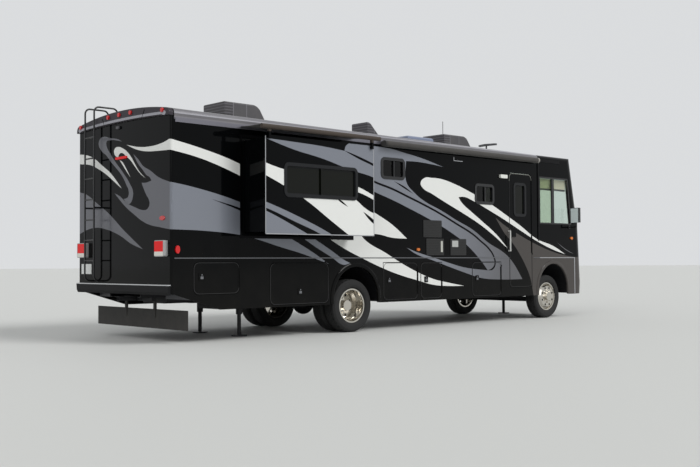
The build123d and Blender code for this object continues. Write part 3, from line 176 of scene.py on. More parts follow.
GLOSS_BLACK = "040506"
black_paint = sprayed("gloss_black_urethane", GLOSS_BLACK, 0.07)
SIDES = (("right", -1), ("left", 1))
STORAGE_DOORS = {"right": ["storage_door_right_" + letter for letter in "abcde"],
                 "left": ["storage_door_left_" + letter for letter in "abc"]}
DOORS = {"right": STORAGE_DOORS["right"] + ["entry_door"], "left": STORAGE_DOORS["left"]}
dress(["side_wall_right", "side_wall_left", "skirt_right", "skirt_left", "rear_cap"]
      + DOORS["right"] + DOORS["left"], black_paint)

# Nose: one moulding over the cab, black above and dark grey below the belt, where the side's grey
# graphic runs on round the front.
NOSE_GREY = "4b4846"
dark_grey_paint = sprayed("dark_grey_urethane", NOSE_GREY, 0.12)
GREY_TOP = 1.185
nose_paint = sprayed("nose_two_tone_urethane", GLOSS_BLACK, 0.07)
lay_over(nose_paint, {"Z": (0.0, GREY_TOP)}, NOSE_GREY)
dress(["front_cap"], nose_paint)

# Roof: a crowned fibreglass skin in grey gelcoat, rolled down over the shoulders to the rail.
roof_gelcoat = finish_named("grey_roof_gelcoat", "55545b", {"Roughness": 0.3, "Coat Weight": 0.1},
                            ("TexNoise", 40.0, 3.0, 0.1, 0.001))
# The three paler bands across the rolled shoulder are painted reflection of the sky, not the gelcoat's colour
for heights, tone in (((3.04, 3.092), "6f6e76"), ((3.128, 3.142), "94949d"), ((3.142, 3.175), "65646c")):
    lay_over(roof_gelcoat, {"Z": heights}, tone)
add_dust(roof_gelcoat, "a9a59c", 0.5, 0.35, 2.0, 5.0)
dress(["roof"], roof_gelcoat)

# Painted graphics: sprayed swooshes in white, silver and dark grey, with fine black pins over them.
# Each colour is a film of paint on its panel, cut where a door, window or room ends.
STATION_AT_ORIGIN = 4.825
TIP = True
SIDE_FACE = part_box("side_wall_left")[1].y
CORNER_RADIUS = 0.034
CORNER_FOLDS = 4
WRAP = CORNER_RADIUS * (math.pi / 2 - 1)
FILM_BASE = 0.0001
PANEL_EDGE = 0.004
FRAME_COVER = 0.02
FRAMED_PANES = {"right": ["slide_window_right", "entry_door_window"], "left": ["slide_window_left"]}
FRONT_END = 9.370
ROOM_REACH = 0.52
ROOM_FACE = SIDE_FACE + ROOM_REACH
ARCH = {"station": 8.665, "height": 0.578, "radius": 0.54, "bottom": 0.456}


def band(path, width):
    """A narrow stripe's outline, from its middle line and its width, pointed at both ends."""
    up, down = [], []
    for before, spot, after in zip(path, path[1:], path[2:]):
        along = Vector((after[0] - before[0], after[1] - before[1])).normalized()
        across = Vector((-along.y, along.x)) * width / 2
        up.append((spot[0] + across.x, spot[1] + across.y))
        down.append((spot[0] - across.x, spot[1] - across.y))
    return [(*path[0], TIP)] + up + [(*path[-1], TIP)] + down[::-1]


def flat_shape(outline):
    """A closed outline of smooth points and tips, filled, as a flat mesh in its own plane."""
    curve = bpy.data.curves.new("outline", "CURVE")
    curve.dimensions = "2D"
    curve.fill_mode = "BOTH"
    curve.resolution_u = 5
    spline = curve.splines.new("BEZIER")
    spline.use_cyclic_u = True
    spline.bezier_points.add(len(outline) - 1)
    for point, spot in zip(spline.bezier_points, outline):
        point.co = (spot[0], spot[1], 0)
        kind = "VECTOR" if len(spot) == 3 else "AUTO"
        point.handle_left_type = kind
        point.handle_right_type = kind
    holder = bpy.data.objects.new("outline", curve)
    bpy.context.scene.collection.objects.link(holder)
    bpy.context.view_layer.update()
    mesh = bpy.data.meshes.new_from_object(holder)
    bm = bmesh.new()
    bm.from_mesh(mesh)
    bmesh.ops.remove_doubles(bm, verts=bm.verts, dist=0.0002)
    bpy.data.objects.remove(holder)
    bpy.data.curves.remove(curve)
    bpy.data.meshes.remove(mesh)
    return bm


def cut_at(bm, axis, value):
    """Cuts a flat mesh along one straight line, across axis 0 (station) or 1 (height)."""
    normal = Vector((1, 0, 0)) if axis == 0 else Vector((0, 1, 0))
    bmesh.ops.bisect_plane(bm, geom=bm.verts[:] + bm.edges[:] + bm.faces[:], dist=1e-6,
                           plane_co=normal * value, plane_no=normal)


def cut_round(bm, box):
    """Cuts a flat mesh along the four sides of a box of (start, end, bottom, top)."""
    for axis, values in ((0, box[:2]), (1, box[2:])):
        for value in values:
            cut_at(bm, axis, value)


def inside(spot, box):
    return box[0] < spot.x < box[1] and box[2] < spot.y < box[3]


def keep_faces(bm, wanted):
    """Deletes the faces whose middle isn't wanted."""
    away = [f for f in bm.faces if not wanted(f.calc_center_median())]
    bmesh.ops.delete(bm, geom=away, context="FACES")


def verts_in(made):
    """The vertices that a bmesh operator made."""
    return [part for part in made["geom"] if isinstance(part, bmesh.types.BMVert)]


def thicken(bm, thickness):
    """Raises a flat mesh into a sheet of a thickness."""
    raised = bmesh.ops.extrude_face_region(bm, geom=bm.faces[:])
    for vert in verts_in(raised):
        vert.co.z = thickness


def show(bm, name, body, made, smooth=False):
    """Finishes a bmesh as a piece of a body, with its faces outwards and its material."""
    bmesh.ops.recalc_face_normals(bm, faces=bm.faces)
    mesh = bpy.data.meshes.new(name)
    bm.to_mesh(mesh)
    bm.free()
    mesh.polygons.foreach_set("use_smooth", [smooth] * len(mesh.polygons))
    mesh.materials.append(made)
    piece = bpy.data.objects.new(name, mesh)
    bpy.context.scene.collection.objects.link(piece)
    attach(piece, body)
    return piece


def make_film(bm, thickness, place, name, body, made):
    """Gives a flat shape its thickness of paint and lays it on its panel, if any of it is left."""
    if not bm.faces:
        bm.free()
        return
    bmesh.ops.recalc_face_normals(bm, faces=bm.faces)
    thicken(bm, thickness)
    for vert in bm.verts:
        vert.co = place(vert.co)
    show(bm, name, body, made)


def on_side(side, distance):
    """Puts (station, height, thickness) on a side; behind the start of the corner it goes round it."""
    def place(co):
        reach = distance + FILM_BASE + co.z
        if distance > SIDE_FACE or co.x > CORNER_RADIUS:
            return Vector((co.x - STATION_AT_ORIGIN, side * reach, co.y))
        turn = (CORNER_RADIUS - co.x) / CORNER_RADIUS
        out = CORNER_RADIUS + FILM_BASE + co.z
        return Vector((CORNER_RADIUS - out * math.sin(turn) - STATION_AT_ORIGIN,
                       side * (SIDE_FACE - CORNER_RADIUS + out * math.cos(turn)), co.y))
    return place


def on_rear(co):
    """Puts (distance to the left, height, thickness) on the rear wall."""
    return Vector((-STATION_AT_ORIGIN - FILM_BASE - co.z, co.x, co.y))


def panel_box(node, side, distance):
    """The start, end, bottom and top of a CAD panel's outer face, as stations and heights."""
    spots = [v.co for v in nodes[node].data.vertices if abs(v.co.y - side * distance) < 0.0001]
    stations = [s.x + STATION_AT_ORIGIN for s in spots]
    heights = [s.z for s in spots]
    return (min(stations), max(stations), min(heights), max(heights))


def grown(box, by):
    return (box[0] - by, box[1] + by, box[2] - by, box[3] + by)


def loose_boxes(node):
    """The boxes of a CAD node's separate solids, as (lowest corner, highest corner)."""
    bm = bmesh.new()
    bm.from_mesh(nodes[node].data)
    bmesh.ops.remove_doubles(bm, verts=bm.verts, dist=0.00005)
    waiting = set(bm.verts)
    boxes = []
    while waiting:
        front = [waiting.pop()]
        found = []
        while front:
            vert = front.pop()
            found.append(vert.co.copy())
            for edge in vert.link_edges:
                other = edge.other_vert(vert)
                if other in waiting:
                    waiting.remove(other)
                    front.append(other)
        boxes.append((Vector(map(min, zip(*found))), Vector(map(max, zip(*found)))))
    bm.free()
    return boxes


WHITE_SWOOSH = [
    (-WRAP, 2.778, TIP), (0.4, 2.70), (0.8, 2.61), (1.46, 2.43), (2.2, 2.36), (2.95, 2.24), (3.29, 2.12),
    (3.854, 1.88), (4.22, 1.71), (4.56, 1.49, TIP), (4.22, 1.50), (3.85, 1.555), (3.50, 1.535, TIP),
    (3.62, 1.44), (4.04, 1.26), (4.41, 1.09), (4.79, 0.94), (5.19, 0.815), (5.6, 0.74), (6.0, 0.68, TIP),
    (5.6, 0.685), (5.19, 0.715), (4.79, 0.80), (4.41, 0.885), (4.04, 0.99), (3.62, 1.135), (3.02, 1.375),
    (2.52, 1.65), (1.89, 2.02), (1.52, 2.19), (1.22, 2.31), (0.8, 2.455), (0.4, 2.56), (-WRAP, 2.63, TIP)]
WHITE_TEARDROP = [
    (4.90, 2.43), (4.99, 2.52), (5.19, 2.535), (5.40, 2.53), (5.81, 2.45), (6.25, 2.32), (6.60, 2.21),
    (6.90, 2.09), (7.16, 1.98), (7.64, 1.77), (8.14, 1.53), (8.67, 1.40), (9.07, 1.24, TIP), (8.66, 1.33),
    (8.14, 1.49), (7.64, 1.68), (7.16, 1.87), (6.69, 2.04), (6.25, 2.19), (6.03, 2.245), (5.87, 2.235, TIP),
    (5.94, 2.155), (6.25, 1.97), (6.47, 1.85), (6.925, 1.59), (7.25, 1.34, TIP), (7.16, 1.39),
    (6.925, 1.53), (6.47, 1.76), (6.03, 1.94), (5.60, 2.10), (5.19, 2.26), (4.93, 2.37)]
SILVER_LOBE = [
    (1.19, 2.835, TIP), (1.71, 2.82), (2.24, 2.80), (2.68, 2.765, TIP), (2.72, 2.85), (2.92, 2.91),
    (3.29, 2.93), (3.80, 2.97), (4.16, 2.96), (4.54, 2.91), (4.92, 2.855), (5.47, 2.74, TIP), (5.2, 2.765),
    (4.8, 2.785), (4.55, 2.78, TIP), (4.55, 2.44), (4.75, 2.26), (4.99, 2.13), (5.4, 1.99), (5.81, 1.83),
    (6.25, 1.67), (6.69, 1.44), (7.16, 1.25), (7.40, 1.08), (7.68, 0.77, TIP), (7.0, 0.775), (6.47, 0.81),
    (6.03, 0.91), (5.6, 1.02), (5.19, 1.13), (4.79, 1.23), (4.55, 1.34, TIP), (4.79, 1.27), (5.19, 1.18),
    (5.6, 1.085), (6.03, 1.0), (6.66, 0.945, TIP), (6.47, 1.12), (6.03, 1.43), (5.6, 1.64), (5.19, 1.80),
    (4.6, 2.0), (4.22, 2.12), (3.81, 2.235), (3.29, 2.40), (2.80, 2.49), (2.24, 2.62), (1.71, 2.71)]
SILVER_QUARTER = [
    (-WRAP, 2.197, TIP), (0.31, 2.15), (0.9, 2.03), (1.33, 1.91), (1.84, 1.74), (2.38, 1.53), (2.877, 1.285),
    (3.12, 1.15), (3.27, 1.09, TIP), (3.12, 1.065), (2.877, 1.185), (2.59, 1.32), (2.24, 1.50), (1.71, 1.69),
    (1.186, 1.87), (0.65, 1.992, TIP), (1.186, 1.83), (1.71, 1.62), (2.31, 1.35), (2.59, 1.21),
    (2.82, 1.08, TIP), (2.31, 1.23), (1.91, 1.325), (1.2, 1.49), (0.6, 1.545), (-WRAP, 1.56, TIP)]
SILVER_LINE = band([(8.80, 1.48), (9.0, 1.37), (9.18, 1.30), (9.37, 1.245)], 0.014)
arch_points = [(ARCH["station"] + ARCH["radius"] * math.cos(math.radians(turn)),
                ARCH["height"] + ARCH["radius"] * math.sin(math.radians(turn))) for turn in range(0, 181, 30)]
GREY_FRONT = [
    (6.90, 1.90, TIP), (7.16, 1.77), (7.64, 1.585), (8.14, 1.42), (8.66, 1.285), (9.0, 1.225),
    (FRONT_END, GREY_TOP, TIP), (FRONT_END, ARCH["bottom"], TIP),
    (ARCH["station"] + ARCH["radius"], ARCH["bottom"], TIP), *arch_points,
    (ARCH["station"] - ARCH["radius"], ARCH["bottom"], TIP), (8.02, ARCH["bottom"], TIP), (7.98, 0.62),
    (7.92, 0.80), (7.80, 1.0), (7.64, 1.20), (7.40, 1.44), (7.16, 1.62)]
BLACK_TONGUE = [(2.6, 2.20, TIP), (2.95, 2.16), (3.29, 2.055), (3.55, 1.95), (3.70, 1.84, TIP), (3.5, 1.83),
                (3.29, 1.85), (3.09, 1.93), (2.95, 2.02), (2.75, 2.13)]
BLACK_PIN = band([(2.66, 2.775), (2.95, 2.69), (3.29, 2.59), (3.80, 2.40), (4.22, 2.30), (4.6, 2.185),
                  (4.99, 2.065), (5.4, 1.925), (5.81, 1.765), (6.25, 1.59), (6.45, 1.48), (6.69, 1.34),
                  (6.83, 1.20), (6.87, 1.06), (6.80, 0.975), (6.66, 0.945)], 0.035)
BLACK_DARTS = [band([(2.50, 2.06), (2.62, 2.00), (2.75, 1.93)], 0.03),
               [(3.06, 1.87, TIP), (3.17, 1.815), (3.30, 1.74), (3.46, 1.63, TIP), (3.28, 1.69),
                (3.15, 1.78)],
               band([(4.26, 2.43), (4.5, 2.34), (4.72, 2.24)], 0.03)]


def metallic(name, colour, coat):
    """Metallic paint; the flakes are under a millimetre and are drawn at 3 mm so that they show."""
    made = finish_named(name, colour,
                        {"Metallic": 0.25, "Roughness": 0.3, "Coat Weight": coat, "Coat Roughness": 0.03},
                        ("TexNoise", 330.0, 1.0, 0.05, 0.0005))
    add_dust(made, ROAD_DUST, 0.35, 0.1, 0.45, 2.5)
    return made


silver_paint = metallic("silver_metallic_urethane", "777b84", 0.4)
# The rear wall's silver is the same paint as the side's, darker here as painted shade, since the rear faces
# away from the light
shaded_rear_silver_paint = metallic("silver_metallic_with_painted_shade", "57585f", 0.3)
# Towards the front the silver is darkened to the nose's dark grey: painted reflection of the dark ground, not
# a change in the paint
ground_reflection_ramp = along_axis(silver_paint.node_tree, "X", {"From Min": 0.5, "From Max": 2.4})
lay_over(silver_paint, ground_reflection_ramp, "57575b")
white_paint = sprayed("off_white_urethane", "dcddda", 0.12)
# Colour, paint, thickness of the film in metres, outlines
PAINTS = (
    ("white", white_paint, 0.0008, [WHITE_SWOOSH, WHITE_TEARDROP]),
    ("silver", silver_paint, 0.0005, [SILVER_LOBE, SILVER_QUARTER, SILVER_LINE]),
    ("grey", dark_grey_paint, 0.0004, [GREY_FRONT]),
    ("black", black_paint, 0.0012, [BLACK_TONGUE, BLACK_PIN, *BLACK_DARTS]))

for side_name, side in SIDES:
    room = "slide_room_" + side_name
    panels = {room: (panel_box(room, side, ROOM_FACE), ROOM_FACE)}
    for leaf in DOORS[side_name]:
        panels[leaf] = (panel_box(leaf, side, SIDE_FACE), SIDE_FACE)
    frames = [corners for corners in loose_boxes("window_frames") if corners[0].y * side > 0]
    frames += [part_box(node) for node in FRAMED_PANES[side_name]]
    holes = [grown((low.x + STATION_AT_ORIGIN, high.x + STATION_AT_ORIGIN, low.z, high.z), -FRAME_COVER)
             for low, high in frames]
    for colour, made, thickness, outlines in PAINTS:
        whole = bmesh.new()
        for outline in outlines:
            shape = flat_shape(outline)
            loose = bpy.data.meshes.new("shape")
            shape.to_mesh(loose)
            shape.free()
            whole.from_mesh(loose)
            bpy.data.meshes.remove(loose)
        for hole in holes:
            cut_round(whole, hole)
        keep_faces(whole, lambda spot: not any(inside(spot, hole) for hole in holes))
        for fold in range(CORNER_FOLDS + 1):
            cut_at(whole, 0, CORNER_RADIUS * (1 - fold / CORNER_FOLDS * math.pi / 2))
        for panel, (box, distance) in panels.items():
            cut_round(whole, grown(box, -PANEL_EDGE))
            cut_round(whole, grown(box, 2 * PANEL_EDGE))
        for panel, (box, distance) in panels.items():
            part = whole.copy()
            keep_faces(part, lambda spot: inside(spot, grown(box, -PANEL_EDGE)))
            film_name = f"paint_{colour}_{panel}"
            make_film(part, thickness, on_side(side, distance), film_name, panel, made)
        keep_faces(whole, lambda spot: not any(inside(spot, grown(box, 2 * PANEL_EDGE))
                                               for box, distance in panels.values()))
        film_name = f"paint_{colour}_coach_{side_name}"
        make_film(whole, thickness, on_side(side, SIDE_FACE), film_name, "coach", made)

EDGE = SIDE_FACE - CORNER_RADIUS
REAR_WHITE = [
    [(-0.13, 2.80, TIP), (-0.46, 2.74), (-0.78, 2.72), (-1.08, 2.74), (-EDGE, 2.778, TIP), (-EDGE, 2.63, TIP),
     (-0.98, 2.64), (-0.67, 2.66), (-0.40, 2.71)],
    [(EDGE, 2.778, TIP), (1.05, 2.75), (0.84, 2.69), (0.56, 2.55), (0.33, 2.43), (0.0, 2.18, TIP),
     (0.21, 2.29), (0.44, 2.41), (0.68, 2.51), (0.93, 2.59), (EDGE, 2.63, TIP)],
    [(-0.637, 2.29, TIP), (-0.46, 2.41), (-0.35, 2.52), (-0.24, 2.63), (-0.13, 2.71), (-0.02, 2.76),
     (0.095, 2.79), (0.20, 2.775), (0.225, 2.72), (0.095, 2.62), (-0.02, 2.52), (-0.13, 2.42),
     (-0.235, 2.33, TIP), (-0.13, 2.45), (-0.02, 2.56), (0.10, 2.64), (0.06, 2.69), (-0.02, 2.69),
     (-0.13, 2.63), (-0.24, 2.57), (-0.35, 2.48), (-0.5, 2.365)]]
REAR_SILVER = [
    [(0.0, 2.86, TIP), (0.10, 2.90), (0.33, 2.94), (0.56, 2.98), (0.66, 2.94), (0.68, 2.88), (0.60, 2.78),
     (0.44, 2.69), (0.33, 2.60), (0.21, 2.52), (-0.02, 2.35), (-0.13, 2.22), (-0.19, 2.14), (-0.18, 2.06),
     (-0.13, 2.035), (-0.05, 2.03, TIP), (-0.15, 1.955), (-0.24, 1.96), (-0.30, 2.03), (-0.31, 2.12),
     (-0.24, 2.22), (-0.02, 2.42), (0.21, 2.60), (0.33, 2.71), (0.44, 2.83), (0.45, 2.89), (0.33, 2.91),
     (0.15, 2.89)],
    [(-0.32, 2.65, TIP), (-0.46, 2.56), (-0.57, 2.47), (-0.78, 2.38), (-0.98, 2.28), (-EDGE, 2.197, TIP),
     (-EDGE, 1.56, TIP), (-0.98, 1.60), (-0.78, 1.63), (-0.57, 1.69), (-0.35, 1.79), (-0.13, 1.90),
     (0.03, 2.0), (0.205, 2.123, TIP), (0.06, 2.075), (-0.13, 1.97), (-0.35, 1.90), (-0.60, 1.845),
     (-0.70, 1.86), (-0.75, 1.92), (-0.737, 1.98), (-0.67, 2.05), (-0.60, 2.14), (-0.54, 2.23, TIP),
     (-0.67, 2.225), (-0.80, 2.245, TIP), (-0.76, 2.29), (-0.67, 2.33), (-0.57, 2.41), (-0.44, 2.51)],
    [(EDGE, 2.197, TIP), (1.05, 2.15), (0.68, 1.98), (0.44, 1.87), (0.21, 1.74), (-0.02, 1.60),
     (-0.24, 1.48), (-0.58, 1.30, TIP), (-0.24, 1.39), (-0.02, 1.48), (0.2, 1.55), (0.5, 1.615),
     (0.75, 1.64), (1.0, 1.62), (EDGE, 1.56, TIP)]]
# The rear silver films take the darker copy of the silver, which is painted shade
for colour, made, thickness, outlines in (("white", white_paint, 0.0008, REAR_WHITE),
                                          ("silver", shaded_rear_silver_paint, 0.0005, REAR_SILVER)):
    for number, outline in enumerate(outlines):
        make_film(flat_shape(outline), thickness, on_rear, f"paint_{colour}_rear_{number}", "coach", made)

# Window glass: dark privacy panes behind clamped black frames, and clear greenish glass for the cab.
# Float glass, 5 mm thick, bedded in rubber.
dark_glass = finish_named("privacy_glass", "14170f",
                          {"Roughness": 0.015, "Transmission Weight": 1.0, "IOR": 1.3})
lay_over(dark_glass, {"X": (3.3, 3.85)}, "d3e2cc")
lay_over(dark_glass, {"X": (3.85, 4.6)}, "f4fbf6")
clear_glass = finish_named("clear_windscreen_glass", "e4efe8",
                           {"Roughness": 0.01, "Transmission Weight": 1.0, "IOR": 1.45})
dress(["window_glass"], dark_glass)
dress(["windshield"], clear_glass)
black_plastic = finish_named("moulded_black_abs", "121315", {"Roughness": 0.38},
                             ("TexNoise", 700.0, 2.0, 0.15, 0.0004))
dress(["window_frames", "grille"], black_plastic)
PANE_INSET = 0.062
for node in FRAMED_PANES["right"] + FRAMED_PANES["left"]:
    low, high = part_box(node)
    framed = finish_named("framed_privacy_glass_" + node, "1a1b1d", {"Roughness": 0.38, "IOR": 1.28},
                          ("TexNoise", 700.0, 2.0, 0.05, 0.0004))
    lay_over(framed,
             {"X": (low.x + PANE_INSET, high.x - PANE_INSET), "Z": (low.z + PANE_INSET, high.z - PANE_INSET)},
             "0c0e09", {"Roughness": 0.04})
    dress([node], framed)

# Mirrors: black moulded heads on arms, each with a flat silvered glass that faces the rear.
mirror_shell = finish_named("mirror_abs_and_glass", "121315", {"Roughness": 0.35},
                            ("TexNoise", 700.0, 2.0, 0.03, 0.0002))
for ends in ((-1.555, -1.385), (1.385, 1.555)):
    lay_over(mirror_shell, {"X": (4.3, 4.3205), "Y": ends, "Z": (1.845, 2.14)}, "cdd8d8",
             {"Metallic": 1.0, "Roughness": 0.03})
dress(["mirrors"], mirror_shell)

# Trim: extruded aluminium belt, roof and slide-out rails, anodised, with a black strip over the cab's
# seam, and a ladder of powder-coated tube, all screwed to the walls.
anodised = finish_named("anodised_aluminium", "b4b5b8", {"Metallic": 0.85, "Roughness": 0.32},
                        ("TexNoise", 260.0, 2.0, 0.06, 0.0003))
CAB_SEAM_X = 8.2 - STATION_AT_ORIGIN
BLACK_TRIM = [{"X": (CAB_SEAM_X - 0.03, CAB_SEAM_X + 0.03), "Z": (1.0, 3.0095)},
              {"X": (CAB_SEAM_X, 4.2), "Z": (2.9, 3.2)}]
for side_name, ends in (("right", (-1.4, -1.2)), ("left", (1.2, 1.4))):
    low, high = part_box("slide_room_" + side_name)
    BLACK_TRIM.append({"X": (low.x + 0.04, high.x - 0.04), "Y": ends, "Z": (1.2, 3.0085)})
# The roof rail is dull, the strips are black, and the belt rail behind the cab is a tone darker
lay_over(anodised, {"Z": (3.0086, 3.2)}, "7b7a82", {"Metallic": 0.3})
for spans in BLACK_TRIM:
    lay_over(anodised, spans, "0b0b0d", {"Metallic": 0.0, "Roughness": 0.2})
lay_over(anodised, {"Z": (1.0, 1.4), "X": (-5.0, 3.4)}, "6c6d70")
dress(["mouldings"], anodised)
powder_coat = finish_named("black_powder_coat", "0b0b0d", {"Roughness": 0.3},
                           ("TexNoise", 500.0, 2.0, 0.2, 0.0003))
dress(["ladder"], powder_coat)

# Rear bumper: a black moulded bar under an aluminium step plate with a rolled edge.
bumper_plastic = finish_named("moulded_bumper_abs", "0e0e10", {"Roughness": 0.5, "IOR": 1.25},
                              ("TexNoise", 300.0, 2.0, 0.2, 0.0005))
lay_over(bumper_plastic, {"Z": (0.8012, 0.83)}, "c6c7c9", {"Metallic": 0.8, "Roughness": 0.3})
dress(["rear_bumper"], bumper_plastic)

# Brow: a moulding across the top of the rear cap, dark grey, with a paler band painted along its lower lip as
# a highlight, and two joints where its middle cover is bonded on. It carries the row of roof lamps.
brow_paint = sprayed("brow_grey_urethane", "3d3a3f", 0.18)
dress(["rear_brow"], brow_paint)
brow_sheen_paint = sprayed("brow_lip_painted_highlight", "9c9ca3", 0.2)
BROW_DEPTH = 0.04
BROW_MIDDLE, BROW_ARCH = 3.133, 0.035


def on_brow(co):
    """Puts (distance to the left, height, thickness) on the brow's rear face."""
    return Vector((-STATION_AT_ORIGIN - BROW_DEPTH - FILM_BASE - co.z, co.x, co.y))


def brow_under(y):
    """The height of the brow's arched lower edge at a distance from the middle."""
    return BROW_MIDDLE - BROW_ARCH * (y / 1.3) ** 2


BROW_ENDS = [-1.22 + 0.1109 * step for step in range(23)]
# The paler band along the brow's lower lip is a painted highlight
BROW_LIP = ([(y, brow_under(y) + 0.014) for y in BROW_ENDS]
            + [(y, brow_under(y) + 0.05) for y in BROW_ENDS[::-1]])
make_film(flat_shape(BROW_LIP), 0.004, on_brow, "brow_lip", "coach", brow_sheen_paint)
for number, (y, lean) in enumerate(((0.44, 0.06), (-0.62, -0.06))):
    joint_line = [(y - 0.006, brow_under(y) + 0.013, TIP), (y + 0.006, brow_under(y) + 0.013, TIP),
                  (y + 0.006 + lean, 3.235, TIP), (y - 0.006 + lean, 3.235, TIP)]
    make_film(flat_shape(joint_line), 0.005, on_brow, f"brow_joint_{number}", "coach", black_paint)

# Slide-out rooms: laminated fibreglass boxes in gloss black, each with a topper roller in dark
# grey-brown acrylic canvas along its top edge, on two arms.
CANVAS = "4a433e"
WEAVE_PITCH = 0.004
room_paint = sprayed("slide_out_black_urethane", GLOSS_BLACK, 0.07)
for ends in ((-1.95, -1.79), (1.79, 1.95)):
    lay_over(room_paint, {"Y": ends, "Z": (2.93, 3.2)}, CANVAS)
dress(["slide_room_right", "slide_room_left"], room_paint)


def woven(name, colour):
    """Woven acrylic canvas; the threads are under a millimetre and are drawn at 4 mm so that they show."""
    made = finish_named(name, colour, {"Roughness": 0.85, "Sheen Weight": 0.15},
                        ("TexVoronoi", 1 / WEAVE_PITCH, 0.0, 0.3, 0.0006))
    add_dust(made, "8d857a", 0.2, 0.25, 0.0, 6.0)
    return made


# Topper awnings: one sheet of canvas over each slide-out room, in a rail on the wall and on the
# roller, that keeps rain and leaves off the room.
canvas = woven("acrylic_topper_canvas", "1c1b1b")
TOPPER_WALL = (SIDE_FACE + 0.013, 3.046)
TOPPER_SAG = 0.012
TOPPER_INSET = 0.06
CANVAS_THICKNESS = 0.0012
for side_name, side in SIDES:
    low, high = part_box("slide_room_" + side_name)
    roller = (ROOM_FACE + 0.040, high.z)
    bm = bmesh.new()
    bmesh.ops.create_grid(bm, x_segments=24, y_segments=8, size=0.5)
    for vert in bm.verts:
        share = vert.co.y + 0.5
        station = low.x + TOPPER_INSET + (vert.co.x + 0.5) * (high.x - low.x - 2 * TOPPER_INSET)
        out = TOPPER_WALL[0] + share * (roller[0] - TOPPER_WALL[0])
        height = TOPPER_WALL[1] + share * (roller[1] + 0.001 - TOPPER_WALL[1])
        vert.co = (station, side * out, height - TOPPER_SAG * math.sin(math.pi * share) * (1 - share))
    bmesh.ops.recalc_face_normals(bm, faces=bm.faces)
    bmesh.ops.solidify(bm, geom=bm.faces[:], thickness=CANVAS_THICKNESS)
    topper = show(bm, "topper_" + side_name, "coach", canvas)
    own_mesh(topper)

# Patio awning: canvas rolled in a slim case along the right wall, with pale cast end caps.
awning_skin = woven("acrylic_awning_canvas", "242221")
for ends, tone in (((-0.875, -0.82), "232221"), ((3.235, 3.285), "8e8b86")):
    lay_over(awning_skin, {"X": ends}, tone)
dress(["awning"], awning_skin)

# Service covers: moulded vents with louvres pressed into them, a chromed grab handle by the door and
# a porch lamp with a pale lens, all on the side walls.
LOUVRE_PITCH = 0.028
# A wave texture's bands are about 0.314 m apart at a scale of 1
WAVE_UNIT = 0.314
hatch_plastic = finish_named("louvred_abs_cover", "0c0c0d", {"Roughness": 0.4})


def add_louvres(made, pitch, depth, where, highlight_tone):
    """Level pressed louvres, with a painted highlight as a paler tone along their edges, as far as a factor
    goes.
    """
    tree, shader = parts_of(made)
    waves = on_object(tree, "TexWave", {"bands_direction": "Z", "wave_profile": "SAW",
                                        "Scale": WAVE_UNIT / pitch})
    pressed = add_node(tree, "Math", {"operation": "MULTIPLY", 0: waves.outputs["Fac"], 1: where}).outputs[0]
    relief = add_node(tree, "Bump", {"Strength": 1.0, "Distance": depth, "Height": pressed})
    tree.links.new(relief.outputs["Normal"], shader.inputs["Normal"])
    edges = add_node(tree, "MapRange", {"Value": pressed, "From Min": 0.55, "From Max": 0.95})
    lay_over(made, edges.outputs["Result"], highlight_tone)


# The hatch louvres' paler edges are a painted highlight
add_louvres(hatch_plastic, LOUVRE_PITCH, 0.008, zone(hatch_plastic, {"Z": (1.0, 2.5)}), "1b1b1d")
# The grab handle, the two pale plates on the covers, and the porch lamp's lens
lay_over(hatch_plastic, {"X": (2.40, 2.46), "Y": (-1.4, -1.3035)}, "dededb",
         {"Metallic": 0.4, "Roughness": 0.2})
lay_over(hatch_plastic, {"X": (0.86, 1.02), "Z": (1.36, 1.47)}, "b9bbb8")
lay_over(hatch_plastic, {"X": (0.565, 0.615), "Z": (1.27, 1.46)}, "c4c4bc")
lay_over(hatch_plastic, {"Z": (2.6, 2.8)}, "d9dad4", {"Roughness": 0.25})
dress(["service_hatches"], hatch_plastic)

# Roof units: two air conditioners and a vent cover in moulded grey shrouds, louvred at the back, a
# tinted skylight dome, a roof hatch and a whip aerial, sealed to the roof.
shroud = finish_named("moulded_grey_shroud", "3c3b41", {"Roughness": 0.45})
UNIT_STARTS = (-3.226, -0.106, 1.834)
grilles = None
for start in UNIT_STARTS:
    part = zone(shroud, {"X": (start - 0.01, start + 0.16)})
    if grilles is not None:
        part = add_node(shroud.node_tree, "Math", {"operation": "ADD", 0: grilles, 1: part}).outputs[0]
    grilles = part
# The shrouds' louvre edges get a paler painted highlight
add_louvres(shroud, 0.045, 0.01, grilles, "73727a")
# Pale joints across each shroud, then the skylight's tinted dome
for start in UNIT_STARTS:
    for across in (0.165, 0.42):
        lay_over(shroud, {"X": (start + across, start + across + 0.008)}, "7b7a82")
lay_over(shroud, {"X": (0.80, 1.52)}, "77819a", {"Roughness": 0.12})
add_dust(shroud, "8f8a80", 0.3, 0.3, 2.0, 6.0)
dress(["roof_units"], shroud)


def add_block(bm, low, high, edge):
    """A solid block between two corners, with rounded edges."""
    middle, size = (Vector(low) + Vector(high)) / 2, Vector(high) - Vector(low)
    place = Matrix.Translation(middle) @ Matrix.Diagonal((*size, 1))
    made = bmesh.ops.create_cube(bm, size=1, matrix=place)
    lines = list(dict.fromkeys(line for vert in made["verts"] for line in vert.link_edges))
    bmesh.ops.bevel(bm, geom=lines, offset=edge, offset_type="OFFSET", segments=3, profile=0.5,
                    affect="EDGES", material=-1)
    return bm


# Awning stay: a pale anodised bracket on the right wall, under the patio awning, that its arm rests in.
stay = add_block(bmesh.new(), (0.92, -1.303, 2.862), (1.16, -1.2955, 2.874), 0.002)
add_block(stay, (0.92, -1.303, 2.872), (0.932, -1.2955, 2.93), 0.002)
show(stay, "awning_stay", "coach", anodised)

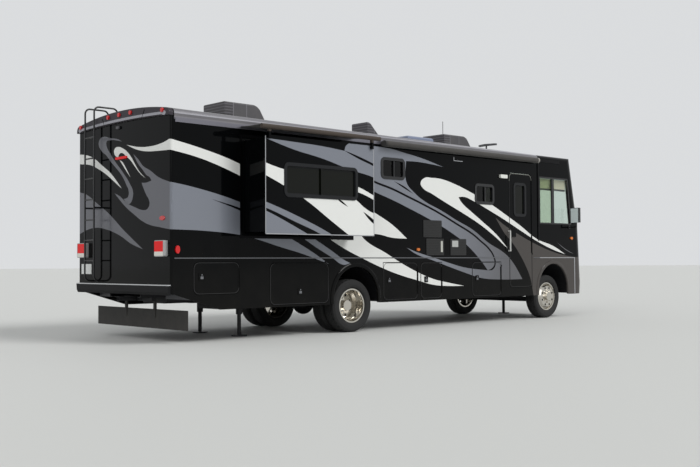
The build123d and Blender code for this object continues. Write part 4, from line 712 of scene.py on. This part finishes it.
# Television aerial: a moulded wing on a short mast, ahead of the second air conditioner.
AERIAL_AT = (3.60, 0.18, 3.475)
WING = [(-0.22, 0.07, TIP), (-0.08, 0.02), (0.0, 0.0), (0.08, 0.02), (0.22, 0.07, TIP), (0.22, 0.12, TIP),
        (0.08, 0.10), (0.0, 0.09), (-0.08, 0.10), (-0.22, 0.12, TIP)]
grey_plastic = finish_named("moulded_grey_abs", "4c4c50", {"Roughness": 0.5},
                            ("TexNoise", 600.0, 2.0, 0.2, 0.0004))


def add_cone(bm, radii, depth, segments, spot, degrees=0, axis="Z"):
    """A solid of revolution with flat ends, turned about one axis and placed."""
    place = Matrix.Translation(spot) @ Matrix.Rotation(math.radians(degrees), 4, axis)
    bmesh.ops.create_cone(bm, cap_ends=True, segments=segments, radius1=radii[0], radius2=radii[1],
                          depth=depth, matrix=place)


wing = flat_shape(WING)
thicken(wing, 0.035)
bmesh.ops.transform(wing, verts=wing.verts, matrix=Matrix.Translation(AERIAL_AT)
                    @ Matrix.Rotation(math.radians(-90), 4, "Z"))
aerial_x, aerial_y, aerial_z = AERIAL_AT
add_cone(wing, (0.022, 0.015), 0.24, 16, (aerial_x + 0.05, aerial_y, aerial_z - 0.10))
add_block(wing, (aerial_x - 0.04, aerial_y - 0.07, 3.235), (aerial_x + 0.14, aerial_y + 0.07, 3.29), 0.012)
show(wing, "tv_aerial", "coach", grey_plastic)

# Lamps: red and clear moulded lenses. The tail lamps have pale housings and a white reversing lens
# under the red one, and the side lamps ahead of the rear pair are amber.
red_lens = finish_named("red_acrylic_lens", "c00d10",
                        {"Roughness": 0.1, "Coat Weight": 0.6, "Coat Roughness": 0.03},
                        ("TexVoronoi", 120.0, 0.0, 0.2, 0.001))
lamp_moulding = finish_named("tail_lamp_acrylic", "e30c10", {"Roughness": 0.22, "IOR": 1.3},
                             ("TexVoronoi", 90.0, 0.0, 0.25, 0.0015))
lay_over(lamp_moulding, {"Z": (1.0, 1.262)}, "dcdad2")
# The pale housing round the lenses
for spans in ({"X": (-4.893, -4.8), "Z": (1.0, 2.0)}, {"Z": (1.404, 1.6)}, {"Z": (1.0, 1.206)},
              {"Y": (-1.3, -1.204)}, {"Y": (1.204, 1.3)}):
    lay_over(lamp_moulding, spans, "9c9c9c", {"Roughness": 0.4})
marker_lens = finish_named("marker_acrylic_lens", "c20f12",
                           {"Roughness": 0.15, "Coat Weight": 0.15, "Coat Roughness": 0.03},
                           ("TexVoronoi", 120.0, 0.0, 0.2, 0.001))
lay_over(marker_lens, {"X": (-4.5, 6.0)}, "c8691c")
dress(["tail_lamps"], lamp_moulding)
dress(["marker_lamps"], marker_lens)

# Chassis: welded and bolted steel in satin black, a plywood deck, and moulded trays and tanks.
chassis_steel = finish_named("satin_black_steel", "17171a", {"Metallic": 0.35, "Roughness": 0.5},
                             ("TexNoise", 30.0, 6.0, 0.3, 0.002))
dress(["chassis_frame", "driveline", "front_axle", "rear_axle", "tie_rod", "knuckle_right", "knuckle_left",
       "levelling_jacks", "tanks", "entry_step"], chassis_steel)
plywood = finish_named("floor_plywood", "8b7355", {"Roughness": 0.6}, ("TexNoise", 25.0, 5.0, 0.3, 0.001))
dress(["floor_deck"], plywood)
dress(["storage_bays", "dashboard", "engine_cover"], grey_plastic)
guard_rubber = finish_named("guard_rubber_sheet", "111211", {"Roughness": 0.7},
                            ("TexNoise", 30.0, 6.0, 0.4, 0.003))
add_dust(guard_rubber, "55504a", 0.15, 0.4, 0.0, 1.5)
dress(["rock_guard"], guard_rubber)

# Wheel housings: steel liners bolted over the wheels, and lips of rolled sheet in the body's colours
# round the wheel openings, riveted to the skirts.
WHEEL_OPENINGS = (("rear", 3.395, 0.555), ("front", ARCH["station"], ARCH["height"]))
LINER_BOTTOM, LIP_BOTTOM = 0.486, 0.46
ARCH_RADIUS = 0.535
LINER = [(ARCH_RADIUS + 0.0005, 0.52), (ARCH_RADIUS + 0.006, 0.52), (ARCH_RADIUS + 0.006, 1.269),
         (ARCH_RADIUS + 0.0005, 1.269)]
LIP = [(0.478, 1.272), (0.474, 1.292), (0.478, 1.306), (0.49, 1.3105), (0.528, 1.3085), (0.541, 1.3025),
       (0.541, 1.2965), (0.5335, 1.2965), (0.5335, 1.272), (0.528, 1.272), (0.520, 1.300), (0.49, 1.302),
       (0.484, 1.298), (0.484, 1.272)]


def run_round(bm, section, station, spring, bottom, side):
    """Runs a section of (radius, distance out) up one leg, over a wheel opening and down the other."""
    x = station - STATION_AT_ORIGIN
    verts = [bm.verts.new((x + radius, side * out, bottom)) for radius, out in section]
    last = [bm.faces.new(verts)]
    for step in ("up", "over", "down"):
        if step == "over":
            made = bmesh.ops.spin(bm, geom=last, cent=(x, 0, spring), axis=(0, 1, 0), angle=-math.pi,
                                  steps=28)
            last = [g for g in made["geom_last"] if isinstance(g, bmesh.types.BMFace)]
        else:
            made = bmesh.ops.extrude_face_region(bm, geom=last)
            shift = spring - bottom if step == "up" else bottom - spring
            bmesh.ops.translate(bm, vec=(0, 0, shift), verts=verts_in(made))
            last = [g for g in made["geom"] if isinstance(g, bmesh.types.BMFace)]
    inner = [face for face in bm.faces if all(len(line.link_faces) > 2 for line in face.edges)]
    bmesh.ops.delete(bm, geom=inner, context="FACES_ONLY")


for side_name, side in SIDES:
    for end, station, spring in WHEEL_OPENINGS:
        liner = bmesh.new()
        run_round(liner, LINER, station, spring, LINER_BOTTOM, side)
        show(liner, f"wheel_housing_{end}_{side_name}", "coach", chassis_steel)
        lip = bmesh.new()
        run_round(lip, LIP, station, spring, LIP_BOTTOM, side)
        lip_finish = dark_grey_paint if end == "front" else black_paint
        show(lip, f"arch_lip_{end}_{side_name}", "coach", lip_finish)

# Cab seats: two captain's chairs in woven cloth over foam, with sewn channels and a headrest, each on
# a steel pedestal that is bolted to the deck.
# The threads are half a millimetre; they are drawn at 3 mm so that they show
seat_fabric = finish_named("woven_seat_fabric", "6d6152", {"Roughness": 0.9, "Sheen Weight": 0.3},
                           ("TexVoronoi", 330.0, 0.0, 0.4, 0.0008))
add_dust(seat_fabric, "8b7f6c", 0.12, 0.35, 0.0, 6.0)
SEAT_X, SEAT_Y, DECK = 3.305, 0.64, 1.165
CHANNEL_DEPTH = 0.007
# Name, middle (forward, out, up), size (deep, wide, thick), lean in degrees, sewn channels, crown
PADS = (("cushion", (0.25, 0.0, 0.40), (0.47, 0.47, 0.105), 0, (-0.5, 0.5), 0.014),
        ("back", (0.02, 0.0, 0.70), (0.53, 0.45, 0.10), 80, (-0.55, 0.55), 0.012),
        ("headrest", (-0.045, 0.0, 1.035), (0.13, 0.27, 0.075), 80, (), 0.008))
# A foot plate, a post and a top plate: start and end, half width, bottom and top, edge
PEDESTAL = (((0.06, 0.42), 0.17, (0, 0.03), 0.006), ((0.14, 0.34), 0.10, (0.02, 0.30), 0.02),
            ((0.03, 0.45), 0.19, (0.29, 0.345), 0.012))


def make_pad(bm, size, channels, crown):
    """A foam pad's cover: crowned, pulled in between its corners, with channels and a side seam."""
    bmesh.ops.create_cube(bm, size=2)
    bmesh.ops.subdivide_edges(bm, edges=bm.edges, cuts=19, use_grid_fill=True)
    for vert in bm.verts:
        u, v, w = vert.co
        spread = (abs(u) ** 6 + abs(v) ** 6 + abs(w) ** 6) ** (1 / 6)
        u, v, w = u / spread, v / spread, w / spread
        seam = 0.006 * math.exp(-((w - 0.35) / 0.12) ** 2)
        high = w * size[2] / 2 + math.copysign(crown, w) * (1 - u * u) * (1 - v * v)
        if w > 0:
            high -= CHANNEL_DEPTH * sum(math.exp(-((v - at) / 0.05) ** 2) for at in channels)
        wide = (size[1] / 2 - seam) * (1 - 0.035 * (1 - u * u))
        deep = (size[0] / 2 - seam) * (1 - 0.035 * (1 - v * v))
        vert.co = (u * deep, v * wide, high)


for side_name, side in SIDES:
    for name, middle, size, lean, channels, crown in PADS:
        pad = bmesh.new()
        make_pad(pad, size, channels, crown)
        place = Matrix.Translation((SEAT_X + middle[0], side * SEAT_Y + middle[1], DECK + middle[2]))
        bmesh.ops.transform(pad, matrix=place @ Matrix.Rotation(math.radians(lean), 4, "Y"), verts=pad.verts)
        piece = show(pad, f"seat_{name}_{side_name}", "coach", seat_fabric, smooth=True)
        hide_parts("cab_seats")
    pedestal = bmesh.new()
    for starts, wide, heights, edge in PEDESTAL:
        add_block(pedestal, (SEAT_X + starts[0], side * SEAT_Y - wide, DECK + heights[0]),
                  (SEAT_X + starts[1], side * SEAT_Y + wide, DECK + heights[1]), edge)
    piece = show(pedestal, "seat_pedestal_" + side_name, "coach", chassis_steel)
    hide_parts("cab_seats")

# Cab pelmets: cream vinyl over board, screwed up behind the top of each cab window, with the black
# bar of a roller blind under each.
pelmet_vinyl = finish_named("cream_pelmet_vinyl", "c9c0ac", {"Roughness": 0.6},
                            ("TexNoise", 160.0, 3.0, 0.3, 0.001))
CAB_WINDOW = (3.385, 4.33)
for name, made, slot, reach, heights, edge in (
        ("cab_pelmets", pelmet_vinyl, "seat_fabric", (1.215, 1.2475), (2.515, 2.70), 0.008),
        ("cab_blind_bars", black_plastic, "black_plastic", (1.214, 1.2485), (2.482, 2.512), 0.006)):
    bars = bmesh.new()
    for side_name, side in SIDES:
        low_y, high_y = sorted((side * reach[0], side * reach[1]))
        add_block(bars, (CAB_WINDOW[0], low_y, heights[0]), (CAB_WINDOW[1], high_y, heights[1]), edge)
    show(bars, name, "coach", made)

# Rear fittings: a reversing camera under the brow, a red reflector and a blank plate on its bracket.
REAR_FACE = -STATION_AT_ORIGIN
camera_head = add_block(bmesh.new(), (REAR_FACE - 0.034, 0.045, 3.046), (REAR_FACE - 0.0005, 0.125, 3.088),
                        0.010)
show(camera_head, "reversing_camera", "coach", grey_plastic)
reflector = bmesh.new()
bmesh.ops.create_cone(reflector, cap_ends=True, segments=28, radius1=0.068, radius2=0.060, depth=0.012)
bmesh.ops.transform(reflector, verts=reflector.verts,
                    matrix=Matrix.Translation((REAR_FACE - 0.0065, -1.083, 1.717))
                    @ Matrix.Diagonal((1, 1, 0.5, 1)) @ Matrix.Rotation(math.radians(-90), 4, "Y"))
show(reflector, "rear_reflector", "coach", red_lens)
plate_paint = finish_named("blank_plate_enamel", "d4d6d4", {"Roughness": 0.3},
                           ("TexNoise", 200.0, 2.0, 0.05, 0.0005))
plate = add_block(bmesh.new(), (REAR_FACE - 0.010, 0.885, 0.948), (REAR_FACE - 0.0005, 1.190, 1.100), 0.004)
show(plate, "rear_plate", "coach", plate_paint)

# Door outlines: the highlight on the rolled edge of each painted door is painted in as a thin paler line.
edge_highlight_paint = sprayed("rolled_edge_painted_highlight", "3c3c3d", 0.15)
# Along the entry door's top the painted highlight is brighter
lay_over(edge_highlight_paint, {"Z": (2.6, 2.8)}, "96968f")
DOOR_RADIUS = 0.085
EDGE_INSET, EDGE_WIDTH, EDGE_FILM = 0.0045, 0.0055, 0.0022


def ring(box, inset, width, radius):
    """A flat rounded ring inside a box of (start, end, bottom, top)."""
    bm = bmesh.new()
    start, end, bottom, top = grown(box, -inset)
    corners = ((start + radius, bottom + radius, 180), (end - radius, bottom + radius, 270),
               (end - radius, top - radius, 0), (start + radius, top - radius, 90))
    verts = [bm.verts.new((x + radius * math.cos(math.radians(turn + add)),
                           y + radius * math.sin(math.radians(turn + add)), 0))
             for x, y, turn in corners for add in range(0, 91, 15)]
    face = bm.faces.new(verts)
    bm.normal_update()
    bmesh.ops.inset_region(bm, faces=[face], thickness=width, use_even_offset=True, use_boundary=True)
    bmesh.ops.delete(bm, geom=[face], context="FACES_ONLY")
    return bm


for side_name, side in SIDES:
    for leaf in DOORS[side_name]:
        outline = ring(panel_box(leaf, side, SIDE_FACE), EDGE_INSET, EDGE_WIDTH, DOOR_RADIUS)
        make_film(outline, EDGE_FILM, on_side(side, SIDE_FACE), "edge_" + leaf, leaf, edge_highlight_paint)

# Slide-out trim: an anodised strip along the foot and both upright edges of each room's fascia.
TRIM_INSET, TRIM_WIDTH, TRIM_RADIUS, TRIM_FILM = 0.002, 0.012, 0.004, 0.003
TRIM_TOP_GAP = 0.02
for side_name, side in SIDES:
    box = panel_box("slide_room_" + side_name, side, ROOM_FACE)
    strip = ring(box, TRIM_INSET, TRIM_WIDTH, TRIM_RADIUS)
    for value in (box[2] + TRIM_TOP_GAP, box[3] - TRIM_TOP_GAP):
        cut_at(strip, 1, value)
    keep_faces(strip, lambda spot: spot.y < box[3] - TRIM_TOP_GAP)
    make_film(strip, TRIM_FILM, on_side(side, ROOM_FACE), "fascia_trim_" + side_name,
              "slide_room_" + side_name, anodised)

# Door latches: dark-chromed zinc paddles with a lock barrel in black cups, one on each storage door.
chrome = finish_named("chromed_zinc", "7b7c80", {"Metallic": 0.9, "Roughness": 0.2},
                      ("TexNoise", 120.0, 2.0, 0.03, 0.0003))
LATCH_PROUD = 0.006
LATCH_ABOVE_FOOT, LATCH_FROM_EDGE = 0.186, 0.132
hinge_axes = {joint["child"]: joint["axis"] for joint in frame["joints"]}
for side_name, side in SIDES:
    for leaf in STORAGE_DOORS[side_name]:
        start, end, bottom, top = panel_box(leaf, side, SIDE_FACE)
        if abs(hinge_axes[leaf][0]) > 0.5:
            middle = Vector(((start + end) / 2 - STATION_AT_ORIGIN, 0, bottom + LATCH_ABOVE_FOOT))
        else:
            middle = Vector((start + LATCH_FROM_EDGE - STATION_AT_ORIGIN, 0, (bottom + top) / 2 + 0.02))
        inner, outer = sorted((side * (SIDE_FACE + LATCH_PROUD + 0.0002), side * (SIDE_FACE + 0.012)))
        latch = add_block(bmesh.new(), (middle.x - 0.024, inner, middle.z - 0.030),
                          (middle.x + 0.024, outer, middle.z + 0.008), 0.0018)
        barrel_at = (middle.x, side * (SIDE_FACE + LATCH_PROUD + 0.003), middle.z + 0.027)
        add_cone(latch, (0.011, 0.010), 0.0055, 20, barrel_at, 90, "X")
        show(latch, "latch_" + leaf, leaf, chrome)

# Headlamps: two silvered bowls with bulbs in a black housing behind a clear moulded lens, each side.
LAMP_BOWL = [(0.094, 0.083), (0.094, 0.080), (0.060, 0.073), (0.033, 0.048), (0.022, 0.012), (0.018, 0.012),
             (0.029, 0.051), (0.057, 0.077)]
LAMP_BULB = [(0.018, 0.0), (0.018, 0.0105), (0.050, 0.010), (0.060, 0.0)]
LAMP_ENDS = (0.7003, 1.0497)
BOWL_SPOTS = (0.79, 0.96)
BEZEL = 0.012
clear_lens = finish_named("clear_acrylic_lens", "f4f6f5",
                          {"Roughness": 0.04, "Transmission Weight": 1.0, "IOR": 1.3},
                          ("TexNoise", 25.0, 1.0, 0.05, 0.0005))
silvered = finish_named("silvered_reflector", "e4e6e8", {"Metallic": 1.0, "Roughness": 0.12},
                        ("TexVoronoi", 110.0, 0.0, 0.3, 0.001))


def turn_section(bm, spots, closed, middle, axis, steps):
    """Turns a section a full turn about an axis; it is closed or has both ends on the axis."""
    verts = [bm.verts.new(spot) for spot in spots]
    edges = [bm.edges.new(pair) for pair in zip(verts, verts[1:] + verts[:1] if closed else verts[1:])]
    bmesh.ops.spin(bm, geom=verts + edges, cent=middle, axis=axis, angle=2 * math.pi, steps=steps,
                   use_merge=True)


for side_name, side in SIDES:
    low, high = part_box("headlamps")
    inner, outer = sorted(side * end for end in LAMP_ENDS)
    housing = add_block(bmesh.new(), (low.x, inner, low.z), (low.x + 0.014, outer, high.z), 0.003)
    for edge in (low.z, high.z - BEZEL):
        add_block(housing, (low.x + 0.012, inner, edge), (high.x - 0.004, outer, edge + BEZEL), 0.003)
    for edge in (inner, outer - BEZEL):
        add_block(housing, (low.x + 0.012, edge, low.z + 0.01),
                  (high.x - 0.004, edge + BEZEL, high.z - 0.01), 0.003)
    piece = show(housing, "headlamp_housing_" + side_name, "coach", black_plastic)
    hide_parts("headlamps")
    bowls = bmesh.new()
    for across in BOWL_SPOTS:
        axle = Vector((0, side * across, (low.z + high.z) / 2))
        for section in (LAMP_BOWL, LAMP_BULB):
            spots = [(low.x + deep, axle.y, axle.z + out) for deep, out in section]
            turn_section(bowls, spots, section is LAMP_BOWL, axle, (1, 0, 0), 32)
    bmesh.ops.remove_doubles(bowls, verts=bowls.verts, dist=0.00005)
    piece = show(bowls, "headlamp_bowls_" + side_name, "coach", silvered, smooth=True)
    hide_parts("headlamps")
    lens = add_block(bmesh.new(), (high.x - 0.005, inner, low.z), (high.x, outer, high.z), 0.0015)
    piece = show(lens, "headlamp_lens_" + side_name, "coach", clear_lens)
    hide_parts("headlamps")

# Windscreen wipers: sprung steel arms with rubber blades, parked along the foot of the glass.
WIPER_PIVOTS, WIPER_FOOT = (-0.15, 0.85), 1.335
wipers = bmesh.new()
for pivot in WIPER_PIVOTS:
    # Each rod: where it starts and ends, as (left, up), and its radius
    arm = ((pivot, WIPER_FOOT), (pivot - 0.35, 1.452), 0.009)
    blade = ((pivot + 0.12, 1.425), (pivot - 0.80, 1.470), 0.006)
    for start, end, radius in (arm, blade):
        one, two = Vector((4.957, *start)), Vector((4.952, *end))
        run = two - one
        turn = run.to_track_quat("Z", "Y").to_matrix().to_4x4()
        bmesh.ops.create_cone(wipers, cap_ends=True, segments=10, radius1=radius, radius2=radius * 0.7,
                              depth=run.length, matrix=Matrix.Translation((one + two) / 2) @ turn)
    add_cone(wipers, (0.022, 0.018), 0.03, 16, (4.953, pivot, WIPER_FOOT), 90, "Y")
show(wipers, "wipers", "coach", powder_coat)

# Wheels: forged aluminium rims, polished to a mirror on the face, on steel-belted radial tyres.
polished = finish_named("polished_aluminium", "c6c2ba", {"Metallic": 1.0, "Roughness": 0.14},
                        ("TexNoise", 60.0, 3.0, 0.03, 0.0005))
lay_over(polished, {"Y": (-0.905, 0.905)}, "26241f", {"Metallic": 0.3, "Roughness": 0.6})
dress(["front_rim_right", "front_rim_left", "rear_rims_right", "rear_rims_left"], polished)
tyre_rubber = finish_named("tyre_rubber", "131313", {"Roughness": 0.8},
                           ("TexNoise", 180.0, 4.0, 0.25, 0.0008))
TYRE_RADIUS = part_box("front_tyre_right")[1].z / 2
TREAD_STEPS = 96
GROOVE_DEPTH = 0.011
LUG_DEPTH = 0.007
SHOULDER = (0.06, 0.1)
SLOT_EVERY = 3
# Half a tyre's section: distance from its middle plane and radius, from the tread's middle to the bead
TREAD_HALF = [(0.014, 0), (0.0145, -GROOVE_DEPTH), (0.0215, -GROOVE_DEPTH), (0.022, 0), (0.050, -0.0005),
              (0.0505, -GROOVE_DEPTH), (0.0585, -GROOVE_DEPTH), (0.059, -0.001), (0.080, -0.004),
              (0.096, -0.009)]
SIDEWALL_HALF = [(0.105, 0.399), (0.113, 0.386), (0.1145, 0.383), (0.1175, 0.382), (0.120, 0.360),
                 (0.1215, 0.335), (0.119, 0.312), (0.1165, 0.310), (0.1165, 0.306), (0.113, 0.295),
                 (0.103, 0.284), (0.091, 0.278), (0.0862, 0.274), (0.0862, 0.2545)]


def add_tyre(bm, middle):
    """Turns one tyre about its axle and presses slots into its shoulders, staggered side to side."""
    half = [(d, TYRE_RADIUS + drop) for d, drop in TREAD_HALF] + SIDEWALL_HALF
    section = [(-d, r) for d, r in half[::-1]] + half
    before = set(bm.faces)
    spots = [(middle.x, middle.y + d, middle.z + r) for d, r in section]
    turn_section(bm, spots, True, middle, (0, 1, 0), TREAD_STEPS)
    slots = []
    for face in bm.faces:
        if face in before:
            continue
        spot = face.calc_center_median() - middle
        off, reach = abs(spot.y), math.hypot(spot.x, spot.z)
        step = int(math.atan2(spot.z, spot.x) / (2 * math.pi) * TREAD_STEPS + TREAD_STEPS)
        on_shoulder = SHOULDER[0] < off < SHOULDER[1] and reach > TYRE_RADIUS - 0.02
        if on_shoulder and step % SLOT_EVERY == (0 if spot.y > 0 else 1):
            slots.append(face)
    pressed = bmesh.ops.extrude_face_region(bm, geom=slots)
    for vert in verts_in(pressed):
        inward = Vector((middle.x - vert.co.x, 0, middle.z - vert.co.z)).normalized()
        vert.co += inward * LUG_DEPTH
    bmesh.ops.delete(bm, geom=slots, context="FACES")


for end in ("front_tyre", "rear_tyres"):
    for side_name, side in SIDES:
        node = f"{end}_{side_name}"
        tyres = bmesh.new()
        for low, high in loose_boxes(node):
            add_tyre(tyres, (low + high) / 2)
        body = node.replace("tyres", "wheels").replace("tyre", "wheel")
        piece = show(tyres, node + "_tread", body, tyre_rubber)
        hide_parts(node)

# Studio: a wide pale floor under a soft sky, with a broad key light from the right.
floor_paint = finish_named("studio_floor", "cfd0cd", {"Roughness": 0.7},
                           ("TexNoise", 3.0, 4.0, 0.05, 0.002))
floor_bm = bmesh.new()
bmesh.ops.create_circle(floor_bm, cap_ends=True, segments=96, radius=220)
floor_mesh = bpy.data.meshes.new("floor")
floor_bm.to_mesh(floor_mesh)
floor_bm.free()
floor_mesh.materials.append(floor_paint)
floor = bpy.data.objects.new("floor", floor_mesh)
bpy.context.scene.collection.objects.link(floor)

world = bpy.data.worlds.new("studio")
bpy.context.scene.world = world
world.use_nodes = True
sky = world.node_tree
SEEN_SKY, LIGHTING_SKY = 0.78, 0.42
ray = add_node(sky, "LightPath")
seen = add_node(sky, "Math", {"operation": "MAXIMUM", 0: ray.outputs["Is Camera Ray"],
                              1: ray.outputs["Is Glossy Ray"]})
seen = add_node(sky, "Math", {"operation": "MAXIMUM", 0: seen.outputs[0],
                              1: ray.outputs["Is Transmission Ray"]})
level = add_node(sky, "Math", {"operation": "MULTIPLY_ADD", 0: seen.outputs[0],
                               1: SEEN_SKY - LIGHTING_SKY, 2: LIGHTING_SKY})
sky.links.new(level.outputs[0], sky.nodes["Background"].inputs["Strength"])
sky.nodes["Background"].inputs["Color"].default_value = linear("f4f6f8")

for name, strength, angle, lean in (("key", 1.8, 25, (50, 0, 25)), ("fill", 1.1, 60, (55, 0, -60))):
    lamp = bpy.data.lights.new(name, "SUN")
    lamp.energy = strength
    lamp.angle = math.radians(angle)
    holder = bpy.data.objects.new(name, lamp)
    holder.rotation_euler = [math.radians(turn) for turn in lean]
    bpy.context.scene.collection.objects.link(holder)

# Camera: 1.1 m above the ground behind the right rear corner, as the photograph was taken.
CAMERA_AT = (-11.888, -12.400, 1.104)
YAW, PITCH, ROLL = (math.radians(turn) for turn in (47.064, 1.702, -0.3187))
forward = Vector((math.cos(YAW) * math.cos(PITCH), math.sin(YAW) * math.cos(PITCH), math.sin(PITCH)))
level_right = Vector((math.sin(YAW), -math.cos(YAW), 0))
level_up = level_right.cross(forward)
camera_right = math.cos(ROLL) * level_right + math.sin(ROLL) * level_up
camera_up = -math.sin(ROLL) * level_right + math.cos(ROLL) * level_up
camera = bpy.data.objects.new("camera", bpy.data.cameras.new("camera"))
camera.data.lens = 49.78
camera.data.clip_end = 600
aim = Matrix((camera_right, camera_up, -forward)).transposed().to_4x4()
camera.matrix_world = Matrix.Translation(CAMERA_AT) @ aim
bpy.context.scene.collection.objects.link(camera)
bpy.context.scene.camera = camera
bpy.context.scene.view_settings.view_transform = "Standard"
